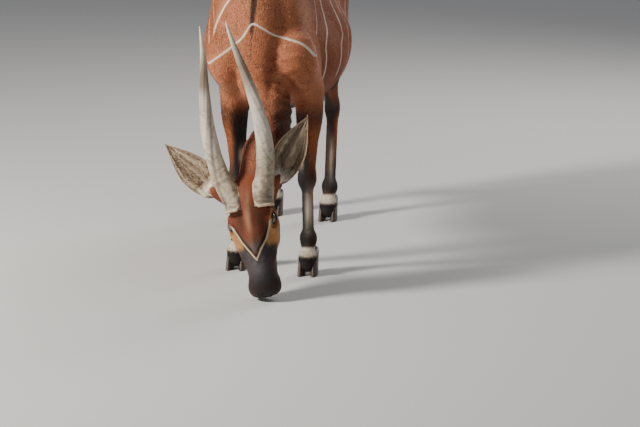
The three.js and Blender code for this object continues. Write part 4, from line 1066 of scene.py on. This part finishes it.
def horns():
    material, tree, body = shader("horn")
    grain = noise(tree, 90, 5, 0.7)
    dress(tree, body, {
        "Base Color": (grain.ramp(0.35, 0.75) * 0.35).mixed(attribute(tree, "hide"), WORN_GREY),
        "Roughness": attribute(tree, "hide", "Alpha") + (grain - 0.5) * 0.2,
        "Normal": bumped(tree, grain * 0.6 + noise(tree, 500, 3, 0.6) * 0.4, 0.0008, 0.7)})
    for word, side in SIDES:
        rings, wrinkle = horn_rings(side)
        mesh = ring_mesh(f"horn_{word}", rings)
        p = rings.reshape(-1, 3)
        level = np.repeat(np.linspace(HORN_ROOT, 1, HORN_ROWS), HORN_COLUMNS)
        around = np.tile(turns(HORN_COLUMNS), HORN_ROWS)
        cloud, fine = mottle(p, 55, 21), mottle(p, 260, 22)
        colour = painted(
            BONE_GREY,
            (BONE_BEIGE, smooth(level + 0.12 * (cloud - 0.5), 0.16, 0.36)),
            (BONE_BROWN, 0.85 * smooth(level + 0.10 * (cloud - 0.5), 0.50, 0.72)),
            (BONE_DARK, 0.55 * smooth(level, 0.26, 0.02) * smooth(cloud, 0.35, 0.75)),
            (BONE_CREAM, smooth(level, 0.72, 0.93) * (0.75 + 0.25 * cloud)),
            # painted shade along one side of the keel
            (BONE_DARK, 0.60 * bump(around, np.pi + 0.62, 0.20) * smooth(level, 0.96, 0.70)),
            (BONE_DARK, 0.34 * bump(around, np.pi - 1.30, 0.30) * smooth(level, 0.90, 0.60) * cloud),
            (BONE_DARK, 0.45 * smooth(fine, 0.58, 0.72) * smooth(level, 0.80, 0.10)),
            # painted shade in the troughs of the wrinkles
            (BONE_DARK, 0.60 * np.clip(-wrinkle.ravel() / WRINKLE_DEPTH, 0, 1)))
        coloured(mesh, colour, 0.44 - 0.12 * smooth(level, 0.4, 0.9))
        added(f"horn_sheath_{word}", mesh, material, "horn", f"horn_{word}")


horns()


# Ears: thin leaf-shaped cups of gristle with low ribs inside. The cup is dark
# with pale rows and a pale rim, and the back is russet with a dark end.
EAR_LENGTH = 0.255
EAR_ROWS = 90
EAR_COLUMNS = 40
EAR_PALE = tone(206, 188, 158)


def ear_axes(side):
    along = head_direction(side * 0.61, 0, 0.79)
    across = unit(np.cross(along, head_direction(side * 0.12, 1, 0.05)))
    return along, across, np.cross(across, along)


# A point of the ear: s from root to tip, a from edge to edge, inner wall or outer
def ear_shape(side, s, a, inner):
    along, across, facing = ear_axes(side)
    bowed, aside = np.cos(a * np.pi / 2), np.sin(a * np.pi / 2)
    leaf = np.sin(np.pi * np.clip(s, 0, 1) ** 0.8) ** 0.8
    half = (0.019 + 0.037 * leaf) * (1 - 0.9 * s ** 6) * (1 - 0.25 * np.clip(2 * s - 1, 0, 1))
    depth = 0.040 * (1 - s ** 1.6) * (0.5 + 0.5 * np.clip(s * 4, 0, 1)) + 0.002
    thick = 0.0010 + 0.0024 * bowed ** 0.5
    rib = 0.0016 * np.sin(a * 15) * smooth(s, 0.02, 0.25) * smooth(np.abs(a), 0.95, 0.5)
    cupped = -bowed * np.maximum(depth - thick, 0.0004) + 0.0009 + rib
    closed = bowed * 0.0160 + 0.0015
    outer = -bowed * depth + 0.0008 * np.sin(s * 26) * np.cos(a * 1.5)
    y = np.where(inner, closed + (cupped - closed) * smooth(s, 0.06, 0.26), outer)
    x = aside * half - np.where(inner, aside * 0.0022, 0)
    return (head_point(side * EAR_SEAT[0], EAR_SEAT[1], EAR_SEAT[2]) + along * (EAR_LENGTH * s)[..., None]
            + across * x[..., None] + facing * (y - 0.026 * s * s)[..., None])


def ear_colour(s, edge, inner, p):
    cloud, fine = mottle(p, 60, 32), mottle(p, 240, 31)
    row = bump(edge, 0.10, 0.13) + bump(edge, 0.62, 0.12) + bump(edge, -0.42, 0.12)
    back = painted(RUSSET, (UMBER, 0.75 * smooth(s, 0.45, 0.80)))
    cup = painted(
        tone(96, 72, 56),
        (tone(140, 114, 92), 0.60 * fine),
        (tone(216, 196, 168), 0.85 * row * smooth(s, 0.12, 0.30) * (0.6 + 0.4 * fine)),
        (CREAM, 0.90 * smooth(s + 0.05 * cloud, 0.24, 0.17) * smooth(edge, 0.75, 0.2)),
        (tone(186, 112, 58), 0.85 * smooth(edge, -0.56, -0.80) * smooth(s, 0.66, 0.46)),
        (EAR_PALE, 0.75 * smooth(np.abs(edge), 0.91, 0.97) * smooth(s, 0.30, 0.45)))
    return np.where(inner[:, None], cup, back)


def ears():
    a = np.linspace(-1, 1, EAR_COLUMNS)
    s = np.repeat(np.linspace(0, 1, EAR_ROWS), 2 * EAR_COLUMNS).reshape(EAR_ROWS, -1)
    a = np.tile(np.concatenate([a, a[::-1]]), (EAR_ROWS, 1))
    inner = np.tile(np.repeat([False, True], EAR_COLUMNS), (EAR_ROWS, 1))
    for word, side in SIDES:
        rings = ear_shape(side, s, a, inner)
        mesh = ring_mesh(f"ear_{word}", rings)
        colour = ear_colour(s.ravel(), a.ravel() * side, inner.ravel(), rings.reshape(-1, 3))
        coloured(mesh, colour, np.full(len(colour), 0.66))
        added(f"ear_shell_{word}", mesh, hide, "coat", f"ear_{word}")


ears()


# Hooves: two claws to a foot, each a wall of dark worn horn that leans back
# from the toe. Growth lines run round it, and the edge on the floor is worn.
CLAW_WIDTH = 0.033
CLAW_LENGTH = 0.080
CLAW_LEAN = 0.42
CLAW_GAP = 0.0025
CLAW_TAPER = 0.16 / 0.092
CORONET_RISE = 0.91


def hooves():
    material, tree, body = shader("hoof")
    grain = noise(tree, 60, 5, 0.7)
    growth = noise(tree, 30, 3, 0.6, (1.0, 1.0, 14.0))
    colour = (growth.ramp(0.35, 0.7) * 0.8).mixed(tone(58, 46, 38), tone(92, 76, 62))
    dress(tree, body, {
        "Base Color": (grain.ramp(0.55, 0.8) * 0.5).mixed(colour, WORN_GREY),
        "Roughness": grain * 0.25 + 0.34,
        "Normal": bumped(tree, growth * 0.8 + grain * 0.2, 0.0012, 0.8)})
    angle = turns(44)
    front = np.sin(angle)
    reach = front * np.where(front < 0, 0.58, 0.42) * CLAW_LENGTH
    top = CORONET_RISE * CORONET + CLAW_LEAN * reach
    top = top / (CORONET_RISE - CLAW_LEAN ** 2 + CLAW_LEAN * CLAW_TAPER * reach) + 0.004
    flat_inside = np.where(np.cos(angle) < 0, 0.62, 1.1)
    for end, legs in (("fore", FRONT_LEGS), ("hind", HIND_LEGS)):
        for leg in legs:
            word = "left" if leg["side"] > 0 else "right"
            for claw, side in SIDES:
                rings = []
                for level in np.linspace(0, top, 26):
                    spread = 1 - CLAW_TAPER * level + 0.004 * np.sin(level * 700)
                    spread = spread * (1 - 0.06 * np.exp(-level / 0.0015))
                    x = CLAW_WIDTH / 2 * (1 + np.cos(angle) * flat_inside * spread) + CLAW_GAP
                    x = side * (x - 0.005 * np.minimum(front, 0) * np.abs(front))
                    y = reach * spread + CLAW_LEAN * level
                    rings.append(np.stack([leg["hoof"][0] + x, leg["hoof"][1] + y, level], 1))
                name = f"{end}_{word}_{claw}"
                added(f"hoof_{name}", ring_mesh(f"hoof_{name}", rings), material, "hoof", f"claw_{name}")


hooves()


# Hair: each tuft is a closed three-sided spike that lies flat on the hide, and
# a lock is a longer one of several sections. All share one dull material.
PATCH = 0.003
COAT_TUFTS = 290000
TUFTS_IN_PIECE = 49000
ROOT_DEPTH = 0.0006


def hair_material():
    material, tree, body = shader("hair")
    strand = noise(tree, 420, 3, 0.7)
    dress(tree, body, {"Base Color": attribute(tree, "hide").scaled(strand.ramp(0.3, 0.7, 0.82, 1.14)),
                       "Roughness": attribute(tree, "hide", "Alpha"),
                       "Specular IOR Level": 0.32,
                       "Sheen Weight": 0.02})
    return material


hair = hair_material()


# A place of its own for each side of trunk, head and legs, laid out flat
def hide_chart(p, n):
    x, y, z = p.T
    leg = 3 + (x > 0.06).astype(int) + 2 * (y > 0)
    body_part = np.where((y < -0.60) & (z < 0.62), 0, np.where(z < 0.60, leg, 2))
    facing = np.argmax(np.abs(n), axis=1)
    front = np.take_along_axis(n, facing[:, None], 1)[:, 0] > 0
    cell = body_part * 6 + facing * 2 + front
    first = np.where(facing == 0, y + 0.95, x + 0.30)
    second = np.where(facing == 2, y + 0.95, z)
    return np.stack([(cell % 7 + 0.04 + 0.45 * first) / 7, (cell // 7 + 0.04 + 0.45 * second) / 7], 1)


# The normal, turned as little as needed to stand square to the way
def square_to(way, normal):
    return unit(normal - way * (normal * way).sum(1, keepdims=True))


# One mesh of many tufts or locks. A bend is added to each one's own direction,
# and a tuft's UV patch lies at its root's place on the chart of the hide.
def spikes(name, root, along, face, length, width, thick, colour, tip_colour, rough, levels=1, bend=0.0):
    count = len(root)
    across = np.cross(face, along)
    length, width, thick = (np.broadcast_to(np.asarray(a, float), (count,))[:, None]
                            for a in (length, width, thick))
    chart = hide_chart(root, face)
    verts, uvs, tints = [], [], []
    for t in np.arange(levels) / levels:
        centre = root + along * length * t + bend * length * t * t
        taper = 1 - 0.55 * t ** 1.5
        for a, b, corner in ((-0.5, 0, (0, 0)), (0.5, 0, (1, 0)), (0, 1, (0.5, 0.24))):
            verts.append(centre + across * width * taper * a + face * thick * taper * b)
            uvs.append(chart + PATCH * (np.array(corner) + (0, 0.6 * t)))
            tints.append(colour * (1 - t) + tip_colour * t)
    verts.append(root + along * length + bend * length)
    uvs.append(chart + PATCH * np.array((0.5, 1)))
    tints.append(tip_colour)
    each = 3 * levels + 1
    verts, uvs, tints = (np.stack(a, 1).reshape(count * each, -1) for a in (verts, uvs, tints))
    sides = ((0, 1), (1, 2), (2, 0))
    pattern = [(0, 2, 1)]
    for low in range(0, 3 * levels - 3, 3):
        for a, b in sides:
            pattern += [(low + a, low + b, low + b + 3), (low + a, low + b + 3, low + a + 3)]
    pattern += [(each - 4 + a, each - 4 + b, each - 1) for a, b in sides]
    corners = (np.arange(count)[:, None, None] * each + np.array(pattern)[None]).reshape(-1)
    mesh = bpy.data.meshes.new(name)
    mesh.vertices.add(len(verts))
    mesh.vertices.foreach_set("co", (verts + SHIFT).ravel())
    mesh.loops.add(len(corners))
    mesh.loops.foreach_set("vertex_index", corners)
    mesh.polygons.add(len(corners) // 3)
    mesh.polygons.foreach_set("loop_start", np.arange(0, len(corners), 3))
    mesh.update(calc_edges=True)
    layer = mesh.uv_layers.new(name="OFBake")
    layer.data.foreach_set("uv", uvs[corners].astype(np.float32).ravel())
    coloured(mesh, tints, np.repeat(np.broadcast_to(rough, (count,)), each))
    return mesh


# The way the hair lies: back and down the trunk, up from the muzzle, from the
# poll up the neck to the withers, and down the legs and tail
def lie(p, n):
    x, y, z = p.T
    down = smooth(z, 0.72, 0.52) * smooth(y, -0.58, -0.50)
    on_neck = smooth(y, -0.44, -0.60) * smooth(z, 1.06, 0.90) * (1 - down)
    on_head = smooth(y, -0.640, -0.668) * smooth(in_head(p)[:, 2], 0.47, 0.41)
    way = np.column_stack([0 * y, 1 + 0 * y, -0.36 - 0.9 * smooth(y, 0.45, 0.62)])
    way = painted(way,
                  (np.array([-0.05, 0.55, 0.83]), on_neck),
                  (np.array([0.0, 0.16, -1.0]), down),
                  (HEAD_W, on_head),
                  (np.array([0, 0.1, -1.0]), smooth(y, 0.715, 0.745)))
    way = way + 0.16 * np.sin(p @ np.array([[31, 17, 23], [19, 37, 11], [23, 13, 29]]).T)
    return unit(way - n * (way * n).sum(1, keepdims=True))


# Length and breadth of a tuft by place; they are shorter beside a white line,
# so that its edge stays clean, and longer as a fringe over the hooves
def hair_size(p):
    h = in_head(p)
    x, y, z = p.T
    head_part = smooth(y, -0.645, -0.675) * smooth(h[:, 2], 0.47, 0.41)
    feet = smooth(z, 0.58, 0.40) * (1 - head_part)
    length = 0.0125 + 0.002 * smooth(z, 0.66, 0.58)
    length = length + (0.0085 - length) * feet
    length = length + (0.0060 - length) * head_part
    length = length - 0.0016 * head_part * smooth(h[:, 2], 0.16, 0.08)
    width = 0.0023 + (0.0017 - 0.0023) * feet
    width = width + (0.0013 - width) * head_part
    (number, flank), *others = white_lines(p)
    near_line = (stripe_distance(number) < 0.011) & (flank > 0.02)
    for gap, shown in others[:2]:
        near_line |= (np.abs(gap) * STRIPE_HALF_WIDTH < 0.011) & (shown > 0.02)
    length = np.where(near_line, np.minimum(length, 0.0062), length)
    fringe = bump(z, 0.084, 0.012) * ((y > -0.62) * 1 + (np.abs(x - 0.19) < 0.05) * (y > -0.53))
    return length + 0.010 * np.clip(fringe, 0, 1), width


# No hair grows on the nose pad, lips, nostrils and lids, nor where the horns
# and hooves stand
def bare(p):
    x, y, z = p.T
    h = in_head(p)
    u, v, w = np.abs(h[:, 0]), h[:, 1], h[:, 2]
    none = (w < 0.036) & (u < 0.024) & (v > -0.064)
    none |= (path_distance(h, MOUTH) < 0.0035) | (nostril_distance(h) < 0.0072)
    none &= y < -0.7
    for side in (-1, 1):
        q, rho = slit(p, side)
        none |= (rho < 1.36) & (q[:, 2] > -0.005)
        stem = horn_spine(side, np.linspace(HORN_ROOT, 0.12, 12))
        none |= (path_distance(p, stem) < HORN_RADIUS) & (w > 0.31)
    for leg in FRONT_LEGS + HIND_LEGS:
        hoof_x, hoof_y, _ = leg["hoof"]
        rise = -CLAW_LEAN * (y - hoof_y) + CORONET_RISE * (z - CORONET)
        none |= (rise < 0.004) & (z < 0.13) & (np.hypot(x - hoof_x, y - hoof_y) < 0.12)
    return none


def coat():
    rng = np.random.default_rng(5)
    triangles = np.zeros(len(skin_mesh.loop_triangles) * 3, int)
    skin_mesh.loop_triangles.foreach_get("vertices", triangles)
    corners = points[triangles.reshape(-1, 3)]
    cross = np.cross(corners[:, 1] - corners[:, 0], corners[:, 2] - corners[:, 0])
    middle = corners.mean(1)
    length, width = hair_size(middle)
    weight = np.linalg.norm(cross, axis=1) / 2 / (length * width) * ~bare(middle)
    wanted = np.cumsum(weight) / weight.sum() * COAT_TUFTS
    owner = np.searchsorted(wanted, np.arange(COAT_TUFTS) + rng.random(COAT_TUFTS))
    owner = np.minimum(owner, len(weight) - 1)
    share = rng.random((COAT_TUFTS, 2))
    share = np.where(share.sum(1, keepdims=True) > 1, 1 - share, share)
    a, b, c = (corners[owner, k] for k in range(3))
    root = a + (b - a) * share[:, :1] + (c - a) * share[:, 1:]
    keep = ~bare(root)
    root, face = root[keep], unit(cross[owner])[keep]
    length, width = hair_size(root)
    count = len(root)
    way = lie(root, face)
    turn = rng.normal(0, 0.20, count)[:, None]
    way = way * np.cos(turn) + np.cross(face, way) * np.sin(turn)
    lift = np.abs(rng.normal(0.10, 0.07, count))[:, None] + 0.05
    along = way * np.cos(lift) + face * np.sin(lift)
    normal = face * np.cos(lift) - way * np.sin(lift)
    length = length * rng.uniform(0.75, 1.2, count)
    width = width * rng.uniform(0.8, 1.25, count)
    shade = hide_colour(root + way * length[:, None] * 0.35)
    shade = shade * rng.uniform(0.88, 1.10, count)[:, None]
    tip = shade * rng.uniform(1.0, 1.22, count)[:, None]
    rough = hide_roughness(root) - 0.08
    x, y, z = root.T
    on_face = (y < -0.655) & (in_head(root)[:, 2] < 0.45)
    region = np.select([on_face, (z < 0.60) & (y > -0.55), y < -0.42, x > 0], [0, 1, 2, 3], 4)
    for index, word in enumerate(("face", "legs", "neck", "left", "right")):
        chosen = np.flatnonzero(region == index)
        chosen = chosen[np.argsort(y[chosen])]
        for part, rows in enumerate(np.array_split(chosen, int(np.ceil(len(chosen) / TUFTS_IN_PIECE)))):
            mesh = spikes(f"coat_{word}_{part}", root[rows] - face[rows] * ROOT_DEPTH, along[rows],
                          normal[rows], length[rows], width[rows], width[rows] * 0.34, shade[rows],
                          tip[rows], rough[rows])
            added(f"coat_{word}_{part}", mesh, hair, "coat")


coat()


# Crest: a mane of stiff upright hair along the spine, from the neck to the tail.
# It is dark, and white where a stripe meets it, and grows from a narrow strip.
CREST_HAIRS = 5200
CREST_START = -0.470
CREST_LENGTH = 1.12
CREST_HEIGHT = 0.066


# Height of the flesh along the middle of the back
def spine_top(y):
    above, under = np.full(len(y), 1.4), np.full(len(y), 0.7)
    for _ in range(16):
        z = (above + under) / 2
        outside = body_field(np.stack([0 * y, y, z], 1)) > 0
        above, under = np.where(outside, z, above), np.where(outside, under, z)
    return under


def crest():
    rng = np.random.default_rng(7)
    count = CREST_HAIRS
    t = np.sort(rng.random(count))
    y = CREST_START + CREST_LENGTH * t
    x = rng.normal(0, 0.0050, count)
    spine_y = np.linspace(-0.50, 0.70, 160)
    z = np.interp(y, spine_y, spine_top(spine_y)) - 0.010 - np.abs(x) * 0.4
    ends = np.clip(t * 9 + 0.35, 0, 1) * np.clip((1 - t) * 7 + 0.30, 0, 1)
    clump = np.sin(y * 210 + 1.5 * np.sin(y * 57)) * 0.5 + 0.5
    length = CREST_HEIGHT * ends * rng.uniform(0.55, 1.0, count) * (0.72 + 0.28 * clump) + 0.012
    outwards = x * 18 + rng.normal(0, 0.08, count)
    backwards = 0.40 + 0.16 * clump + rng.normal(0, 0.08, count)
    along = unit(np.stack([outwards, backwards, np.ones(count)], 1))
    side = unit(np.stack([np.ones(count), rng.normal(0, 0.5, count), np.zeros(count)], 1))
    skin_tone = hide_colour(np.stack([np.where(x > 0, 0.040, -0.040), y, z - 0.012], 1))
    pale = skin_tone.min(axis=1, keepdims=True) > 0.3
    colour = np.where(pale, skin_tone, MAROON * 0.9)
    tip = np.where(pale, CREAM, SOOT * rng.uniform(0.8, 1.8, count)[:, None])
    mesh = spikes("crest", np.stack([x, y, z], 1), along, square_to(along, side), length, 0.0034, 0.0010,
                  colour, tip, 0.55, 3, np.array([0.0, 0.22, -0.06]))
    added("crest_hair", mesh, hair, "coat")


crest()


# Tail: the dock is part of the skin, and its end carries a tuft of long dark
# locks that hang down and close together at their tips.
TAIL_LOCKS = 1500


def tail_tuft():
    rng = np.random.default_rng(11)
    count = TAIL_LOCKS
    s = rng.uniform(0.60, 0.99, count)
    turn = rng.uniform(0, 2 * np.pi, count)
    away = np.stack([np.cos(turn), np.sin(turn), np.zeros(count)], 1)
    root = tail_point(s) + away * (0.011 - 0.005 * s)[:, None]
    along = unit(away * rng.uniform(0.06, 0.16, count)[:, None] + np.array([0, 0.02, -1.0]))
    length = 0.175 * rng.uniform(0.6, 1.08, count) * (0.8 + 0.2 * s)
    bend = -away * 0.06 + rng.normal(0, 0.03, (count, 3))
    colour = UMBER * rng.uniform(0.6, 1.2, count)[:, None]
    tip = SOOT * rng.uniform(0.7, 1.5, count)[:, None]
    mesh = spikes("tail_tuft", root, along, square_to(along, away), length, 0.0045, 0.0018, colour, tip, 0.5,
                  4, bend)
    added("tail_tuft", mesh, hair, "coat")


tail_tuft()


# Ear hair: a pale fringe round the rim, four rows of long hair over the dark
# cup, and short hair on the back that hides the gristle.
EAR_HAIRS = (("rim", 1900), ("cup", 2000), ("back", 5200))
EAR_LANES = (-0.62, -0.20, 0.22, 0.60)


def ear_hair():
    rng = np.random.default_rng(17)
    for word, side in SIDES:
        facing = ear_axes(side)[2]
        rows = []
        for kind, count in EAR_HAIRS:
            s = rng.uniform(0.03, 0.985, count)
            a = rng.uniform(-0.93, 0.93, count)
            if kind == "rim":
                a = np.where(rng.random(count) < 0.5, -1, 1) * rng.uniform(0.90, 1.0, count)
            if kind == "cup":
                s = rng.uniform(0.06, 0.80, count)
                lane = rng.integers(0, 4, count)
                a = np.choose(lane, EAR_LANES) + rng.normal(0, 0.07, count)
            inner = np.full(count, kind != "back")
            place = ear_shape(side, s, a, inner)
            way = unit(ear_shape(side, s + 0.01, a, inner) - place)
            edgeways = unit(ear_shape(side, s, a + 0.02, inner) - place)
            normal = unit(np.cross(way, edgeways))
            away = facing if kind != "back" else -facing
            normal = normal * np.sign((normal * away).sum(1, keepdims=True))
            rim = edgeways * np.sign(a)[:, None]
            width = 0.0014
            if kind == "rim":
                length = rng.uniform(0.008, 0.017, count) * (1 - 0.4 * s)
                along = way * 0.75 - rim * 0.45 + normal * rng.uniform(0.0, 0.35, count)[:, None]
                colour = painted(ear_colour(s, a * side, inner, place),
                                 (EAR_PALE, np.where(a * side < -0.5, 0.25 + 0.5 * s, 0.75)))
            elif kind == "cup":
                length = rng.uniform(0.016, 0.034, count) * (1 - 0.45 * s)
                along = way + normal * rng.uniform(0.10, 0.35, count)[:, None] + rim * 0.22
                pale = np.isin(lane, (0, 2)) * 0.45 + 0.55 * rng.random(count)
                colour = painted(tone(112, 88, 70), (tone(214, 194, 164), pale),
                                 (CREAM, 0.9 * smooth(s, 0.28, 0.16)))
            else:
                length = rng.uniform(0.006, 0.010, count)
                along = way + normal * 0.16
                colour = ear_colour(s, a * side, inner, place) * rng.uniform(0.85, 1.15, count)[:, None]
                width = 0.0022
            along = unit(along)
            rows.append((place, along, square_to(along, normal), length, np.full(count, width), colour))
        place, along, face, length, width, colour = (np.concatenate(parts) for parts in zip(*rows))
        mesh = spikes(f"ear_hair_{word}", place - face * 0.0005, along, face, length, width, width * 0.35,
                      colour, colour * 1.1, 0.55, 2)
        added(f"ear_hair_{word}", mesh, hair, "coat")


ear_hair()


# Collars: a low roll of pale bare skin round each horn, where the sheath
# leaves the head. Its line is found on the horn's wall, just above the hide.
COLLAR_WIDTH = 0.0052
COLLAR_HEIGHT = 0.0048


def collars():
    turn = turns(10)[:, None]
    for word, side in SIDES:
        wall = horn_rings(side)[0][:HORN_ROWS // 4]
        field = body_field(wall.reshape(-1, 3)).reshape(wall.shape[:2]) + COAT * 0.5
        line = wall[np.argmax(field > 0, axis=0), np.arange(HORN_COLUMNS)]
        ahead, behind = np.roll(line, -3, axis=0), np.roll(line, 3, axis=0)
        line = (line * 2 + ahead + behind + np.roll(line, 1, axis=0) + np.roll(line, -1, axis=0)) / 6
        out = unit(line - line.mean(0))
        rise = unit(np.cross(out, ahead - behind))
        rings = [place + np.cos(turn) * o * COLLAR_WIDTH + np.sin(turn) * r * COLLAR_HEIGHT
                 for place, o, r in zip(line, out, rise)]
        mesh = ring_mesh(f"collar_{word}", rings, loop=True)
        fine = mottle(np.concatenate(rings), 300, 41)
        colour = painted(tone(224, 204, 172), (tone(160, 122, 90), 0.6 * fine))
        coloured(mesh, colour, np.full(len(colour), 0.6))
        added(f"horn_collar_{word}", mesh, hide, "coat")


collars()


# Lashes: a row of dark bent hairs along each upper lid, and single stiff pale
# whiskers on lips and chin, which end above the floor.
LASHES = 34
WHISKERS = 34


def lashes_and_whiskers():
    rng = np.random.default_rng(23)
    hairs = []
    for side in (-1, 1):
        centre, axes = eye_frame(side)
        for angle in np.linspace(0.16, 0.92, LASHES) * np.pi:
            x, y = LID_LENGTH * np.cos(angle), LID_HEIGHT * np.sin(angle) * 1.05
            ball = np.sqrt(max(EYE_RADIUS ** 2 - x * x - y * y, 0.0080 ** 2)) + 0.0016
            way = np.array([0.35 * np.cos(angle) + rng.normal(0, 0.10), 0.55, 0.62 + rng.normal(0, 0.08)])
            hairs.append((centre + np.array([x, y, ball]) @ axes, unit(way) @ axes, axes[0],
                          rng.uniform(0.007, 0.011), tone(60, 44, 34)))
        for _ in range(WHISKERS):
            u, w = rng.uniform(0.012, 0.050), rng.uniform(0.004, 0.070)
            start = head_point(side * u, -0.100 if w > 0.02 else -0.092, w)
            start, normal = settle(start[None], np.array([COAT]), 8)
            hairs.append((start[0], unit(normal[0] - 0.35 * HEAD_W + rng.normal(0, 0.18, 3)), HEAD_U,
                          rng.uniform(0.014, 0.030), tone(170, 156, 138)))
    root, along, face, length, colour = (np.array(part) for part in zip(*hairs))
    above_floor = np.maximum(root[:, 2] - 0.003, 0.002)
    length = np.minimum(length, above_floor / np.maximum(-along[:, 2], 0.01))
    face = square_to(along, face)
    mesh = spikes("lashes", root - along * 0.002, along, face, length + 0.002, 0.0006, 0.0005, colour, colour,
                  0.5, 3, face * 0.10)
    added("lashes_and_whiskers", mesh, hair, "coat")


lashes_and_whiskers()


# Studio: a plain pale floor, the camera of the photo's framing, a broad lamp
# from the upper left, a weak fill and a rim lamp from behind.
FLOOR_HALF = 14
CAMERA_PLACE = np.array([1.6738, -9.5497, 2.1834])
CAMERA_BEARING = np.radians(9)
CAMERA_HEIGHT = np.radians(12)
CAMERA_LENS = 146.8125


def studio_floor():
    mesh = bpy.data.meshes.new("floor")
    corners = [(x * FLOOR_HALF, y * FLOOR_HALF, 0) for x, y in ((-1, -1), (1, -1), (1, 1), (-1, 1))]
    mesh.from_pydata(corners, [], [(0, 1, 2, 3)])
    floor = bpy.data.objects.new("floor", mesh)
    bpy.context.scene.collection.objects.link(floor)
    material, tree, body = shader("floor")
    dress(tree, body, {"Base Color": (0.62, 0.61, 0.59), "Roughness": 0.8})
    mesh.materials.append(material)


def camera():
    data = bpy.data.cameras.new("camera")
    data.lens = CAMERA_LENS
    data.sensor_width = 36
    data.clip_end = 60
    right = np.array([np.cos(CAMERA_BEARING), np.sin(CAMERA_BEARING), 0])
    back = np.array([np.sin(CAMERA_BEARING) * np.cos(CAMERA_HEIGHT),
                     -np.cos(CAMERA_BEARING) * np.cos(CAMERA_HEIGHT), np.sin(CAMERA_HEIGHT)])
    turned = np.eye(4)
    turned[:3] = np.column_stack([right, np.cross(back, right), back, CAMERA_PLACE + SHIFT])
    item = bpy.data.objects.new("camera", data)
    item.matrix_world = Matrix(turned.tolist())
    bpy.context.scene.collection.objects.link(item)
    bpy.context.scene.camera = item


def lamp(name, place, target, size, power, colour):
    data = bpy.data.lights.new(name, "AREA")
    data.shape, data.size, data.energy, data.color = "DISK", size, power, colour
    item = bpy.data.objects.new(name, data)
    item.location = place
    item.rotation_euler = (Vector(target) - Vector(place)).to_track_quat("-Z", "Y").to_euler()
    bpy.context.scene.collection.objects.link(item)


studio_floor()
camera()
lamp("key", (-4.0, -2.7, 3.6), (0.05, -0.5, 0.6), 1.2, 520, (1.0, 0.955, 0.89))
lamp("fill", (3.6, -4.4, 2.0), (0.05, -0.4, 0.6), 3.2, 10, (0.92, 0.96, 1.0))
lamp("rim", (1.8, 3.6, 3.4), (0, 0, 0.9), 2.0, 120, (1.0, 0.98, 0.95))
world = bpy.data.worlds.new("world")
bpy.context.scene.world = world
world.use_nodes = True
world.node_tree.nodes["Background"].inputs["Color"].default_value = (0.86, 0.90, 1.0, 1.0)
world.node_tree.nodes["Background"].inputs["Strength"].default_value = 0.24
